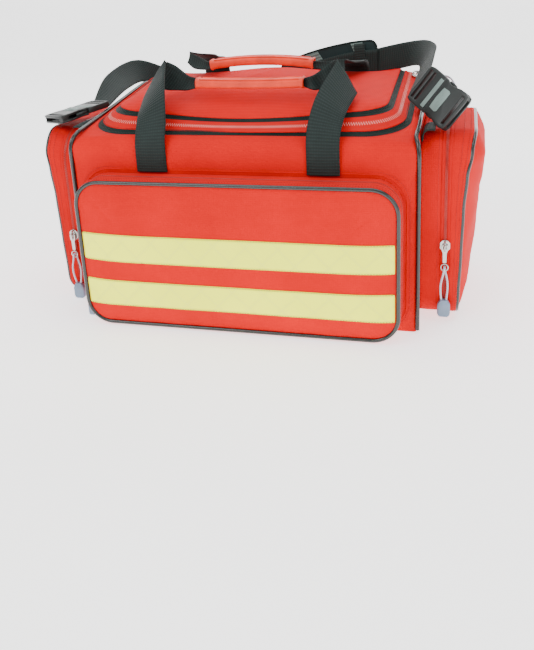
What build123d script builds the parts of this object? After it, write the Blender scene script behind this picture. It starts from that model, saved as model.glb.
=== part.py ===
from build123d import *
import os
from math import atan2, cos, pi, radians, sin, tan

os.makedirs("parts", exist_ok=True)

# ---------------------------------------------------------------- driving dimensions, mm
WALL = 4.0                # padded fabric wall
BODY_X = 220.0            # half length of the main compartment
BODY_Y = 140.0            # half depth of the main compartment
SHOULDER_Z = 228.0        # where the front panel starts to slope in
BOARD = 3.0               # stiff board on the floor of the bag

RIM_X = 208.0             # half length of the outer edge of the zip rim
RIM_FRONT_Y = -126.0      # front of the rim
RIM_REAR_Y = 118.0        # rear ends of the rim
RIM_FRONT_Z = 243.0
RIM_REAR_Z = 276.0
RIM_SLOPE_IN = 30.0       # how far the rim leans in from its foot to its top
RIM_RISE_FRONT = 27.0
RIM_RISE_REAR = 10.0
RIM_CORNER = 56.0         # radius of the rim's front corners at its foot
TAPE = 2.4                # thickness of tape and binding

FRONT_POCKET_X = 203.0
FRONT_POCKET_Z0 = 4.0
FRONT_POCKET_Z1 = 196.0
FRONT_POCKET_CORNER = 34.0
FRONT_POCKET_Y = -173.0   # outer face of the front pocket
FRONT_ZIP_BODY_Y = -152.2
FRONT_ZIP_COVER_Y = -156.2
FRONT_ZIP_TAPE = 3.0      # width of each side of the front pocket's zip
FRONT_COVER_Y = -159.4    # where the front cover starts, outside its zip
END_POCKET_X = 275.0      # outer face of the end pockets
END_ZIP_BODY_X = 247.0
END_ZIP_COVER_X = 251.4
END_ZIP_TAPE = 3.6
END_COVER_X = 255.2
END_POCKET_Y = 106.0
END_POCKET_Z0 = 6.0
END_POCKET_Z1 = 240.0
END_POCKET_CORNER = 46.0
POCKET_WALL = 3.0         # fabric round the sides of a pocket
SEAM_GAP = 0.3            # between a pocket's side and the wall it is sewn to
PIPING_R = 2.2
BAND = 38.0               # height of a reflective band
BAND_FEET = (31.0, 93.0)  # lower edges of the two bands

WEB = 40.0                # webbing width
WEB_T = 2.0
HANDLE_X = 109.0          # centre of each handle web where it is sewn down
GRIP_HALF = 72.0

CORD_D = 2.5              # cord of the zip pulls
TAB_L = 27.0              # from the slider's middle to the middle of the tab's ring
SHORT_TAB_L = 17.0        # the same on the front pocket
TAG = (16.0, 9.0, 22.0)   # width, thickness and length of a pull's grip


def save(builder, name):
    builder.part.label = name
    export_step(builder.part, f"parts/{name}.step")


# ---------------------------------------------------------------- main compartment
def plate(name, size, centre):
    with BuildPart() as panel:
        with Locations(centre):
            Box(*size)
    save(panel, name)


plate("bottom_panel", (2 * BODY_X - 2 * WALL, 2 * BODY_Y - 2 * WALL, WALL), (0, 0, WALL / 2))
plate("base_board", (2 * BODY_X - 20, 2 * BODY_Y - 20, BOARD), (0, 0, WALL + BOARD / 2))


def wrap_panel(name, points):
    """A wall of constant thickness: its (y, z) line is thickened inwards and run along X."""
    with BuildPart() as panel:
        with BuildSketch(Plane.YZ.offset(-BODY_X + WALL)):
            with BuildLine():
                Polyline(*points, close=True)
            make_face()
        extrude(amount=2 * (BODY_X - WALL))
    save(panel, name)


wrap_panel("front_panel", [
    (-BODY_Y, 0), (-BODY_Y, SHOULDER_Z), (-BODY_Y + 6, SHOULDER_Z + 9), (-123, 242),
    (-121, 238), (-BODY_Y + 9, SHOULDER_Z + 5), (-BODY_Y + WALL, SHOULDER_Z - 2), (-BODY_Y + WALL, 0)])
wrap_panel("rear_panel", [
    (BODY_Y, 0), (BODY_Y, 258), (BODY_Y - 5, 268), (124, 275),
    (122, 271), (BODY_Y - 8, 265), (BODY_Y - WALL, 256), (BODY_Y - WALL, 0)])

for side, sign in (("left", -1), ("right", 1)):
    with BuildPart() as end_panel:
        with BuildSketch(Plane.YZ.offset(sign * BODY_X)):
            with BuildLine():
                Polyline((-BODY_Y + WALL, 0), (-BODY_Y + WALL, 226), (-121, 239), (RIM_REAR_Y, 266),
                         (BODY_Y - WALL, 254), (BODY_Y - WALL, 0), close=True)
            make_face()
        extrude(amount=-sign * WALL)
    save(end_panel, f"{side}_end_panel")

    with BuildPart() as piping:
        with BuildLine():
            FilletPolyline((sign * (BODY_X + 2), -BODY_Y - 1, PIPING_R + 1),
                           (sign * (BODY_X + 2), -BODY_Y - 1, 222),
                           (sign * (BODY_X - 1.4), -125, 245),
                           (sign * (BODY_X - 2), 116, 268.5),
                           (sign * (BODY_X + 2), BODY_Y + 1, 256),
                           (sign * (BODY_X + 2), BODY_Y + 1, PIPING_R + 1),
                           radius=[10, 8, 8, 10])
        with BuildSketch(Plane(origin=(sign * (BODY_X + 2), -BODY_Y - 1, PIPING_R + 1), z_dir=(0, 0, 1))):
            Circle(PIPING_R)
        sweep()
    save(piping, f"{side}_body_piping")


# ---------------------------------------------------------------- zip rim and lid
def rim_plane(t, drop=0.0):
    """Plane across the rim at height fraction t, through its front and its rear edge."""
    front_y = RIM_FRONT_Y + RIM_SLOPE_IN * t
    front_z = RIM_FRONT_Z + RIM_RISE_FRONT * t - drop
    rear_z = RIM_REAR_Z + RIM_RISE_REAR * t - drop
    tilt = atan2(rear_z - front_z, RIM_REAR_Y - front_y)
    return Plane(origin=(0, front_y, front_z), x_dir=(1, 0, 0), z_dir=(0, -sin(tilt), cos(tilt)))


def rim_outline(t, inset=0.0, rear=0.0):
    """Sketch across the rim: square at the rear, rounded at the two front corners."""
    half = RIM_X - RIM_SLOPE_IN * t - inset
    depth = (RIM_REAR_Y - RIM_FRONT_Y - RIM_SLOPE_IN * t) + rear
    with BuildSketch(rim_plane(t)) as outline:
        with Locations((0, inset + (depth - inset) / 2)):
            Rectangle(2 * half, depth - inset)
        fillet(outline.vertices().group_by(Axis.Y)[0], RIM_CORNER - 20 * t - inset)
    return outline.sketch


def rim_band(name, low, high):
    """A U-shaped strip of tape between two heights of the rim."""
    with BuildPart() as band:
        loft([rim_outline(low), rim_outline(high)], ruled=True)
        loft([rim_outline(low, TAPE, 30), rim_outline(high, TAPE, 30)], ruled=True, mode=Mode.SUBTRACT)
    save(band, name)


rim_band("body_binding", 0.0, 0.26)
rim_band("main_zip_body_side", 0.27, 0.49)
rim_band("main_zip_lid_side", 0.54, 0.73)
rim_band("lid_binding", 0.74, 0.99)


def lid_section(front_y, front_z, rear_z, half, corner, shrink=0.0):
    tilt = atan2(rear_z - front_z, RIM_REAR_Y - front_y)
    plane = Plane(origin=(0, front_y, front_z - shrink), x_dir=(1, 0, 0), z_dir=(0, -sin(tilt), cos(tilt)))
    depth = RIM_REAR_Y - front_y
    with BuildSketch(plane) as section:
        with Locations((0, depth / 2)):
            Rectangle(2 * (half - shrink), depth - 2 * shrink)
        fillet(section.vertices().group_by(Axis.Y)[0], corner - shrink)
    return section.sketch


LID_SECTIONS = [(-95.5, 270.6, 286.4, 177.5, 36), (-76, 279, 289, 164, 34), (-50, 284.5, 291, 138, 30)]
with BuildPart() as lid_panel:
    loft([lid_section(*step) for step in LID_SECTIONS], ruled=True)
    loft([lid_section(*step, shrink=WALL - 1) for step in LID_SECTIONS], ruled=True, mode=Mode.SUBTRACT)
save(lid_panel, "lid_panel")


# ---------------------------------------------------------------- pockets
def pocket_ring(name, plane, half, low, high, corner, depth):
    """A rounded rectangular band of fabric, open front and back, run along the plane's normal."""
    with BuildPart() as ring:
        with BuildSketch(plane):
            with Locations((0, (low + high) / 2)):
                RectangleRounded(2 * half, high - low, corner)
                RectangleRounded(2 * (half - POCKET_WALL), high - low - 2 * POCKET_WALL, corner - POCKET_WALL,
                                 mode=Mode.SUBTRACT)
        extrude(amount=depth)
    save(ring, name)


def pocket_cover(name, plane, half, low, high, corner, depth):
    """The padded cover: a rounded tray, open towards the bag."""
    with BuildPart() as cover:
        with BuildSketch(plane):
            with Locations((0, (low + high) / 2)):
                RectangleRounded(2 * half, high - low, corner)
        extrude(amount=depth)
        with BuildSketch(plane):
            with Locations((0, (low + high) / 2)):
                RectangleRounded(2 * (half - POCKET_WALL), high - low - 2 * POCKET_WALL, corner - POCKET_WALL)
        extrude(amount=depth - WALL, mode=Mode.SUBTRACT)
    save(cover, name)


def pocket_piping(name, plane, half, low, high, corner):
    """Piping sewn round the outer edge of the cover."""
    with BuildPart() as piping:
        with BuildSketch(plane):
            with Locations((0, (low + high) / 2)):
                RectangleRounded(2 * half, high - low, corner)
                RectangleRounded(2 * (half - 2 * PIPING_R), high - low - 4 * PIPING_R, corner - 2 * PIPING_R,
                                 mode=Mode.SUBTRACT)
        extrude(amount=2 * PIPING_R)
        fillet(piping.edges(), PIPING_R * 0.7)
    save(piping, name)


def front_plane(y):
    return Plane(origin=(0, y, 0), x_dir=(1, 0, 0), z_dir=(0, -1, 0))


def end_plane(sign, x):
    return Plane(origin=(sign * x, 0, 0), x_dir=(0, sign, 0), z_dir=(sign, 0, 0))


FRONT_POCKET = (FRONT_POCKET_X, FRONT_POCKET_Z0, FRONT_POCKET_Z1, FRONT_POCKET_CORNER)
FRONT_GUSSET = -FRONT_ZIP_BODY_Y - BODY_Y - SEAM_GAP - 0.2
pocket_ring("front_pocket_gusset", front_plane(-BODY_Y - SEAM_GAP), *FRONT_POCKET, FRONT_GUSSET)
pocket_ring("front_pocket_zip_body_side", front_plane(FRONT_ZIP_BODY_Y), *FRONT_POCKET, FRONT_ZIP_TAPE)
pocket_ring("front_pocket_zip_cover_side", front_plane(FRONT_ZIP_COVER_Y), *FRONT_POCKET, FRONT_ZIP_TAPE)
pocket_cover("front_pocket_cover", front_plane(FRONT_COVER_Y), *FRONT_POCKET, FRONT_COVER_Y - FRONT_POCKET_Y)
pocket_piping("front_pocket_piping", front_plane(FRONT_POCKET_Y), *FRONT_POCKET)

with BuildPart() as reflective_bands:
    with Locations(*[(0, FRONT_POCKET_Y - 0.5, foot + BAND / 2) for foot in BAND_FEET]):
        Box(2 * FRONT_POCKET_X - 4 * PIPING_R - 2, 1.0, BAND)
save(reflective_bands, "reflective_bands")

END_POCKET = (END_POCKET_Y, END_POCKET_Z0, END_POCKET_Z1, END_POCKET_CORNER)
END_GUSSET = END_ZIP_BODY_X - BODY_X - SEAM_GAP - 0.2
for side, sign in (("left", -1), ("right", 1)):
    pocket_ring(f"{side}_pocket_gusset", end_plane(sign, BODY_X + SEAM_GAP), *END_POCKET, END_GUSSET)
    pocket_ring(f"{side}_pocket_zip_body_side", end_plane(sign, END_ZIP_BODY_X), *END_POCKET, END_ZIP_TAPE)
    pocket_ring(f"{side}_pocket_zip_cover_side", end_plane(sign, END_ZIP_COVER_X), *END_POCKET, END_ZIP_TAPE)
    pocket_cover(f"{side}_pocket_cover", end_plane(sign, END_COVER_X), *END_POCKET, END_POCKET_X - END_COVER_X)
    pocket_piping(f"{side}_pocket_piping", end_plane(sign, END_POCKET_X), *END_POCKET)


# ---------------------------------------------------------------- webbing
def ribbon(stations, width, thickness):
    """Webbing through stations of (centre, direction across the web), one flat facet per run."""
    centres = [Vector(*centre) for centre, across in stations]
    sections = []
    for index, (centre, across) in enumerate(stations):
        ahead = centres[min(index + 1, len(centres) - 1)]
        behind = centres[max(index - 1, 0)]
        with BuildSketch(Plane(origin=centre, x_dir=across, z_dir=ahead - behind)) as section:
            Rectangle(width, thickness)
        sections.append(section.sketch)
    loft(sections, ruled=True)


def both_sides(stations):
    return [stations, [((-x, y, z), (-u, v, w)) for (x, y, z), (u, v, w) in stations]]


FRONT_WEB = [((HANDLE_X, -143, 237), (1, 0, 0)), ((HANDLE_X, -131, 262), (1, 0, 0)),
             ((HANDLE_X - 1, -117, 286), (1, 0, 0)), ((HANDLE_X - 10, -78, 309), (1, 0, 0)),
             ((HANDLE_X - 18, -50, 319), (1, 0, 0))]
FRONT_DROP = [((HANDLE_X - 18, -47, 317), (0.8, 0, 0.6)), ((84, -52, 306), (0.4, 0, 0.9)),
              ((GRIP_HALF + 1, -55, 297), (0, 0.3, 0.95))]
REAR_WEB = [((HANDLE_X, 146, 263), (1, 0, 0)), ((HANDLE_X, 147, 285), (1, 0, 0)),
            ((HANDLE_X, 134, 302), (1, 0, 0)), ((HANDLE_X - 2, 90, 312), (1, 0, 0)),
            ((HANDLE_X - 12, 42, 324), (1, 0, 0))]
REAR_DROP = [((HANDLE_X - 12, 39, 324), (0.8, 0, 0.6)), ((84, 22, 318), (0.4, 0.3, 0.85)),
             ((GRIP_HALF + 1, 10, 311), (0, 0.5, 0.85))]

for handle, web_line, drop_line in (("front", FRONT_WEB, FRONT_DROP), ("rear", REAR_WEB, REAR_DROP)):
    with BuildPart() as handle_webbing:
        for stations in both_sides(web_line):
            ribbon(stations, WEB, WEB_T)
        for stations in both_sides(drop_line):
            ribbon(stations, 20.0, WEB_T)
    save(handle_webbing, f"{handle}_handle_webbing")

    grip_end = drop_line[-1][0]
    arch = 5.0 if handle == "rear" else -1.5
    with BuildPart() as handle_grip:
        with BuildLine():
            ThreePointArc((-GRIP_HALF, grip_end[1], grip_end[2]), (0, grip_end[1], grip_end[2] + arch),
                          (GRIP_HALF, grip_end[1], grip_end[2]))
        with BuildSketch(Plane(origin=(-GRIP_HALF, grip_end[1], grip_end[2]), x_dir=(0, 1, 0), z_dir=(1, 0, 0))):
            RectangleRounded(20, 13, 5)
        sweep()
    save(handle_grip, f"{handle}_handle_grip")

for handle, sign, low, high in (("front", -1, 200.0, 233.0), ("rear", 1, 140.0, 258.0)):
    with BuildPart() as handle_anchors:
        with Locations(*[(x, sign * (BODY_Y + WEB_T / 2 + 0.2), (low + high) / 2) for x in (-HANDLE_X, HANDLE_X)]):
            Box(WEB, WEB_T, high - low)
    save(handle_anchors, f"{handle}_handle_anchors")


# ---------------------------------------------------------------- shoulder strap
BUCKLE_W, BUCKLE_T = 52.0, 11.0
BUCKLE_SPLIT = 4.0        # the socket's mouth, past the middle of the closed buckle
PAD_W, PAD_T = 66.0, 7.0
RIGHT_BUCKLE = ((262, -84, 261), (214, -30, 292), (0.65, 0.05, 0.76))
LEFT_BUCKLE = ((-276, -82, 252), (-233, -14, 262), (0.84, -0.53, 0.1))
PAD_RIGHT = ((136, 188, 287), (0.0, 0.1, 1.0))
PAD_LEFT = ((-8, 187, 252), (0.25, 0.1, 0.96))
RIGHT_WEB = [(RIGHT_BUCKLE[1], RIGHT_BUCKLE[2]), ((217, 35, 301), (0.6, 0, 0.8)), ((217, 98, 306), (0.55, 0, 0.84)),
             ((204, 142, 305), (0.35, 0.15, 0.93)), ((176, 174, 297), (0.1, 0.15, 0.98)), PAD_RIGHT]
LEFT_WEB = [PAD_LEFT, ((-62, 188, 236), (0.1, 0.1, 1)), ((-130, 186, 236), (-0.1, 0.1, 1)),
            ((-192, 174, 260), (-0.2, 0.1, 0.97)), ((-233, 138, 284), (-0.4, -0.1, 0.9)),
            ((-240, 60, 280), (-0.86, 0, 0.5)), (LEFT_BUCKLE[1], (-0.84, 0.53, 0.1))]

with BuildPart() as shoulder_strap_webbing:
    ribbon(RIGHT_WEB, WEB, WEB_T)
    ribbon(LEFT_WEB, WEB, WEB_T)
save(shoulder_strap_webbing, "shoulder_strap_webbing")

PAD_LINE = [((137, 191.2, 286), (0.0, 0.0, 1.0)), ((95, 192, 282), (0.05, 0, 1)),
            ((42, 192, 270), (0.15, 0, 1)), ((-8, 191.2, 252), (0.25, 0, 0.97))]
with BuildPart() as shoulder_pad:
    ribbon(PAD_LINE, PAD_W, PAD_T)
save(shoulder_pad, "shoulder_pad")

with BuildPart() as pad_keepers:
    for (centre, across), along in ((((112, 186, 283), (0, 0, 1)), (1, 0, 0.1)),
                                    (((20, 186, 262), (0.2, 0, 1)), (1, 0, 0.3))):
        with BuildSketch(Plane(origin=centre, x_dir=across, z_dir=along)):
            Rectangle(60, 2)
        extrude(amount=16)
save(pad_keepers, "pad_keepers")


def buckle_frame(low, high, across):
    """Frame of a buckle: x across, y from its bag end to its strap end, z out of its face."""
    start, end = Vector(*low), Vector(*high)
    along = (end - start).normalized()
    face = Vector(*across).cross(along)
    return Plane(origin=(start + end) / 2, x_dir=along.cross(face), z_dir=face), (end - start).length


for side, (low, high, across) in (("left", LEFT_BUCKLE), ("right", RIGHT_BUCKLE)):
    frame, length = buckle_frame(low, high, across)
    with BuildPart() as buckle_socket:
        with BuildSketch(frame.offset(-BUCKLE_T / 2)):
            with Locations((0, (BUCKLE_SPLIT - length / 2) / 2)):
                RectangleRounded(BUCKLE_W, BUCKLE_SPLIT + length / 2, 5)
            with Locations((0, -length / 2 + 9)):
                SlotOverall(WEB + 1, 3.6, mode=Mode.SUBTRACT)
        extrude(amount=BUCKLE_T)
        with BuildSketch(frame.offset(-BUCKLE_T / 2 + 2)):
            with Locations((0, BUCKLE_SPLIT - 13)):
                Rectangle(BUCKLE_W - 8, 28)
        extrude(amount=BUCKLE_T - 4, mode=Mode.SUBTRACT)
    save(buckle_socket, f"{side}_buckle_socket")
    with BuildPart() as buckle_plug:
        with BuildSketch(frame.offset(-BUCKLE_T / 2)):
            with Locations((0, (length / 2 + BUCKLE_SPLIT + 0.6) / 2)):
                RectangleRounded(BUCKLE_W, length / 2 - BUCKLE_SPLIT - 0.6, 4)
            with Locations((0, length / 2 - 8), (0, length / 2 - 20)):
                SlotOverall(WEB + 1, 3.6, mode=Mode.SUBTRACT)
        extrude(amount=BUCKLE_T)
        with BuildSketch(frame.offset(-BUCKLE_T / 2 + 2.6)):
            with Locations(*[(x, BUCKLE_SPLIT - 9) for x in (-15, 0, 15)]):
                Rectangle(7, 22)
        extrude(amount=BUCKLE_T - 5.2)
    save(buckle_plug, f"{side}_buckle_plug")

with BuildPart() as strap_anchors:
    for sign in (-1, 1):
        with BuildSketch(Plane(origin=(sign * 223, -78, 245), x_dir=(0, 1, 0), z_dir=(sign, 0, -0.12))):
            Rectangle(WEB, WEB_T)
        extrude(amount=14)
save(strap_anchors, "strap_anchors")


# ---------------------------------------------------------------- zip sliders and pulls
HINGE_Z = 6.0             # the tab's hinge above the zip tape
SLIDE_T = 2.8             # thickness of the slider's plate
TAB_T = 1.6
RING_HOLE = 6.4


def slider(name, frame):
    """Zip slider: x across the chain, y along it, z out of the cloth."""
    with BuildPart() as body:
        with BuildSketch(frame.offset(0.8)):
            with Locations((0, 3)):
                RectangleRounded(12, 9, 3)
            with Locations((0, -3.5)):
                RectangleRounded(9, 9, 2)
        extrude(amount=SLIDE_T)
        with BuildSketch(Plane(origin=frame.from_local_coords((1.3, 0, 0)), x_dir=frame.y_dir, z_dir=-frame.x_dir)):
            with Locations((0, -5.9)):
                Rectangle(13, 6.8)
            with Locations((0, -5.3)):
                Rectangle(10, 5.4, mode=Mode.SUBTRACT)
        extrude(amount=2.6)
    save(body, name)


def pull_tab(name, frame, reach):
    with BuildPart() as tab:
        with BuildSketch(frame.offset(HINGE_Z - TAB_T / 2)):
            with Locations((0, -reach / 2 + 1.5)):
                RectangleRounded(7.4, reach + 1, 1)
            with Locations((0, -reach)):
                Circle(5.4)
                Circle(RING_HOLE / 2, mode=Mode.SUBTRACT)
            with Locations((0, -4.7)):
                Rectangle(4.4, 7.2, mode=Mode.SUBTRACT)
        extrude(amount=TAB_T)
    save(tab, name)


def cord_tube(name, points):
    """Round cord along its route, with arcs as large as the two runs beside each point allow."""
    vectors = [Vector(*point) for point in points]
    radii = []
    for before, corner, after in zip(vectors, vectors[1:], vectors[2:]):
        turn = (corner - before).get_angle(after - corner)
        run = min((corner - before).length, (after - corner).length)
        radii.append(0.45 * run / tan(radians(turn) / 2))
    with BuildPart() as cord:
        with BuildLine() as route:
            FilletPolyline(*points, radius=radii)
        with BuildSketch(Plane(origin=points[0], z_dir=vectors[1] - vectors[0])):
            Circle(CORD_D / 2)
        sweep()
    length = route.wires()[0].length
    ratio = cord.part.volume / (length * pi * CORD_D ** 2 / 4)
    print(name, f"length {length:.1f}  volume ratio {ratio:.3f}  radii", [round(r, 1) for r in radii])
    save(cord, name)


def tag(name, plane):
    """Moulded grip at the end of a cord: x across, y along, z through it."""
    width, thick, long = TAG
    with BuildPart() as grip:
        with BuildSketch(plane.offset(-thick / 2)):
            with BuildLine():
                Polyline((-width / 2 + 3, long / 2), (width / 2 - 3, long / 2), (width / 2, long / 2 - 5),
                         (width / 2 - 1, -long / 2 + 6), (0, -long / 2), (-width / 2 + 1, -long / 2 + 6),
                         (-width / 2, long / 2 - 5), close=True)
            make_face()
        extrude(amount=thick)
        chamfer(grip.faces().sort_by(Axis(plane.origin, plane.z_dir))[-1].edges(), 1.5)
    save(grip, name)


# Routes of the cord loops, from one leg in the tag, through the tab's ring and back to the tag.
# The hanging ones are in the slider's frame: x across the tab, y up the tab from its ring, z out of the cloth.
LONG_LOOP = [(-3, -44, 5.2), (-4.6, -30, 8.6), (-3.6, -17.5, 10.2), (-1, -7.5, 9.9), (0, 0.5, 9.3),
             (0, 0.5, 2.7), (1, -7.5, 2.2), (3.6, -17.5, 2.1), (4.6, -30, 2.8), (3, -44, 5.2)]
SHORT_LOOP = [(-3, -14, 5.2), (-2.4, -7, 9.3), (0, 0.5, 9.2), (0, 0.5, 2.8), (2.4, -7, 2.5), (3, -14, 5.2)]
MAIN_LOOP = [(257.5, 77, 252), (257.5, 84.5, 261), (253.5, 91.5, 270.5), (246.5, 97, 277.5), (236.5, 99.5, 278.6),
             (229.5, 100, 275.7), (227.3, 100, 269.5), (234.6, 99, 266.1), (240.5, 95, 258), (246.5, 87, 252),
             (252.5, 76.5, 249.7)]

END_CHAIN_X = 250.8
FRONT_CHAIN_Y = -155.7
HANGING_PULLS = {
    "right_pocket": (Plane((END_CHAIN_X, -END_POCKET_Y, 104), (1, 0, 0), (0, -1, 0)), TAB_L, LONG_LOOP),
    "left_pocket": (Plane((-END_CHAIN_X, -END_POCKET_Y, 96), (1, 0, 0), (0, -1, 0)), TAB_L, LONG_LOOP),
    "front_pocket": (Plane((-FRONT_POCKET_X, FRONT_CHAIN_Y, 56), (0, -1, 0), (-1, 0, 0)), SHORT_TAB_L, SHORT_LOOP),
}
for pull, (frame, reach, loop) in HANGING_PULLS.items():
    slider(f"{pull}_slider", frame)
    pull_tab(f"{pull}_pull_tab", frame, reach)
    cord_tube(f"{pull}_pull_cord", [tuple(frame.from_local_coords((x, y - reach, z))) for x, y, z in loop])
    tag_y = loop[0][1] - reach - TAG[2] / 2
    tag(f"{pull}_pull_tag",
        Plane(origin=frame.from_local_coords((0, tag_y, 5.2)), x_dir=frame.x_dir, z_dir=frame.z_dir))

MAIN_FRAME = Plane(origin=(201, 100, 276.3), x_dir=(0, 1, 0), z_dir=(0.342, 0, 0.94))
slider("main_slider", MAIN_FRAME)
pull_tab("main_pull_tab", MAIN_FRAME, TAB_L)
cord_tube("main_pull_cord", MAIN_LOOP)
tag("main_pull_tag", Plane(origin=(257.9, 66.5, 249.5), x_dir=(0.93, 0.35, 0), z_dir=(0, 0, 1)))
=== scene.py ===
import bmesh
import bpy
import math
from mathutils import Matrix, Vector, noise
from mathutils.bvhtree import BVHTree


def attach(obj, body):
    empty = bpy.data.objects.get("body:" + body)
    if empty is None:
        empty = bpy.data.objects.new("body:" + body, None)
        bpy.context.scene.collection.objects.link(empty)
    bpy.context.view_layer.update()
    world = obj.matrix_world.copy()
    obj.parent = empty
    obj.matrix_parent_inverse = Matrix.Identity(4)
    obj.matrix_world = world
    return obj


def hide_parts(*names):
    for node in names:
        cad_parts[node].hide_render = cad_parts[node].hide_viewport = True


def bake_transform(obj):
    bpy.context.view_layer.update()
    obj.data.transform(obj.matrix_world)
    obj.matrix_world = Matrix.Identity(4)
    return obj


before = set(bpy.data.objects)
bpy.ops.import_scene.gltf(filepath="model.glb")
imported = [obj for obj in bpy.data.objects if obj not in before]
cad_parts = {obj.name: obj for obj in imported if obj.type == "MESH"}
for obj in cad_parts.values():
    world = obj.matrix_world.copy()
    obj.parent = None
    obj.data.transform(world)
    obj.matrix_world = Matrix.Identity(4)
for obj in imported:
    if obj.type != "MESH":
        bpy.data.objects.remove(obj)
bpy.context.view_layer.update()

MM = 0.001


def mm(x, y, z):
    return Vector((x, y, z)) * MM


# ---------------------------------------------------------------- camera
CAMERA_PLACE = mm(270.85, -1006.13, 459.67)
VIEW = Vector((-0.2475, 0.9198, -0.3045)).normalized()
VIEW_UP = Vector((-0.0291, 0.3071, 0.9513))
LENS = 42.56
SHIFT_Y = -0.2


def make_camera():
    data = bpy.data.cameras.new("camera")
    data.lens = LENS
    data.sensor_width = 36
    data.shift_y = SHIFT_Y
    camera = bpy.data.objects.new("camera", data)
    side = VIEW.cross(VIEW_UP).normalized()
    up = side.cross(VIEW)
    camera.matrix_world = Matrix((
        (side.x, up.x, -VIEW.x, CAMERA_PLACE.x), (side.y, up.y, -VIEW.y, CAMERA_PLACE.y),
        (side.z, up.z, -VIEW.z, CAMERA_PLACE.z), (0, 0, 0, 1)))
    bpy.context.collection.objects.link(camera)
    bpy.context.scene.camera = camera


make_camera()


# ---------------------------------------------------------------- materials
class Nodes:
    """Short calls for building a node material."""

    def __init__(self, name):
        self.material = bpy.data.materials.new(name)
        self.material.use_nodes = True
        self.tree = self.material.node_tree
        self.shader = self.tree.nodes["Principled BSDF"]

    def add(self, kind, **values):
        node = self.tree.nodes.new(kind)
        for key, value in values.items():
            setattr(node, key, value)
        return node

    def link(self, source, target):
        self.tree.links.new(source, target)

    def place(self, kind="Object"):
        return self.add("ShaderNodeTexCoord").outputs[kind]

    def noise(self, scale, detail=3.0, rough=0.5, vector=None):
        node = self.add("ShaderNodeTexNoise")
        node.inputs["Scale"].default_value = scale
        node.inputs["Detail"].default_value = detail
        node.inputs["Roughness"].default_value = rough
        self.link(vector or self.place(), node.inputs["Vector"])
        return node.outputs["Fac"]

    def wave(self, scale, direction, vector=None, distortion=0.0, profile="SIN"):
        node = self.add("ShaderNodeTexWave", bands_direction=direction, wave_profile=profile)
        node.inputs["Scale"].default_value = scale
        node.inputs["Distortion"].default_value = distortion
        node.inputs["Detail"].default_value = 0
        self.link(vector or self.place(), node.inputs["Vector"])
        return node.outputs["Fac"]

    def math(self, operation, first, second=None):
        node = self.add("ShaderNodeMath", operation=operation)
        for socket, value in zip(node.inputs, (first, second)):
            if value is None:
                continue
            if isinstance(value, (int, float)):
                socket.default_value = value
            else:
                self.link(value, socket)
        return node.outputs[0]

    def ramp(self, source, stops):
        node = self.add("ShaderNodeValToRGB")
        elements = node.color_ramp.elements
        while len(elements) < len(stops):
            elements.new(0.5)
        for element, (place, colour) in zip(elements, stops):
            element.position = place
            element.color = (*colour, 1)
        self.link(source, node.inputs["Fac"])
        return node.outputs["Color"]

    def mix(self, factor, first, second, blend="MIX"):
        node = self.add("ShaderNodeMix", data_type="RGBA", blend_type=blend)
        for socket, value in ((node.inputs[0], factor), (node.inputs[6], first), (node.inputs[7], second)):
            if isinstance(value, (int, float)):
                socket.default_value = value
            elif isinstance(value, tuple):
                socket.default_value = (*value, 1)
            else:
                self.link(value, socket)
        return node.outputs[2]

    def bump(self, height, distance, strength=1.0, below=None):
        node = self.add("ShaderNodeBump")
        node.inputs["Distance"].default_value = distance
        node.inputs["Strength"].default_value = strength
        self.link(height, node.inputs["Height"])
        if below is not None:
            self.link(below, node.inputs["Normal"])
        return node.outputs["Normal"]

    def finish(self, colour, roughness, normal=None, **values):
        self.link(colour, self.shader.inputs["Base Color"])
        if isinstance(roughness, (int, float)):
            self.shader.inputs["Roughness"].default_value = roughness
        else:
            self.link(roughness, self.shader.inputs["Roughness"])
        if normal is not None:
            self.link(normal, self.shader.inputs["Normal"])
        for key, value in values.items():
            self.shader.inputs[key.replace("_", " ")].default_value = value
        return self.material


def scaled(colour, factor):
    return tuple(min(1.0, channel * factor) for channel in colour)


def wave_scale(pitch):
    """Scale of a wave texture whose bands repeat about every two pitches."""
    return 0.5 / pitch / 3.14159


def woven(name, base, thread=0.0011, roughness=0.68, sheen=0.02, mottling=0.12, weave_height=0.00012):
    """Plain woven nylon: fine weave on all three axes, soft large mottling and faint handling creases."""
    n = Nodes(name)
    frequency = wave_scale(thread)
    weave_x = n.wave(frequency, "X")
    weave_y = n.wave(frequency, "Y")
    weave_z = n.wave(frequency, "Z")
    weave = n.math("MULTIPLY", n.math("ADD", weave_x, weave_z), n.math("ADD", weave_y, 0.5))
    cloud = n.noise(14.0, 4.0, 0.55)
    fine = n.noise(260.0, 2.0, 0.6)
    tone = n.math("ADD", n.math("MULTIPLY", cloud, 0.8), n.math("MULTIPLY", fine, 0.2))
    colour = n.ramp(tone, [(0.3, scaled(base, 1 - mottling)), (0.55, base), (0.75, scaled(base, 1 + mottling))])
    thread_tone = n.ramp(weave, [(0.0, (0.93, 0.93, 0.93)), (1.0, (1, 1, 1))])
    colour = n.mix(1.0, colour, thread_tone, "MULTIPLY")
    rough = n.math("ADD", n.math("MULTIPLY", cloud, 0.18), roughness - 0.09)
    soft = n.bump(n.noise(60.0, 3.0, 0.5), 0.0012, 0.35)
    normal = n.bump(weave, weave_height, 0.8, soft)
    return n.finish(colour, rough, normal, Sheen_Weight=sheen, Sheen_Roughness=0.4, Specular_IOR_Level=0.06)


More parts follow.
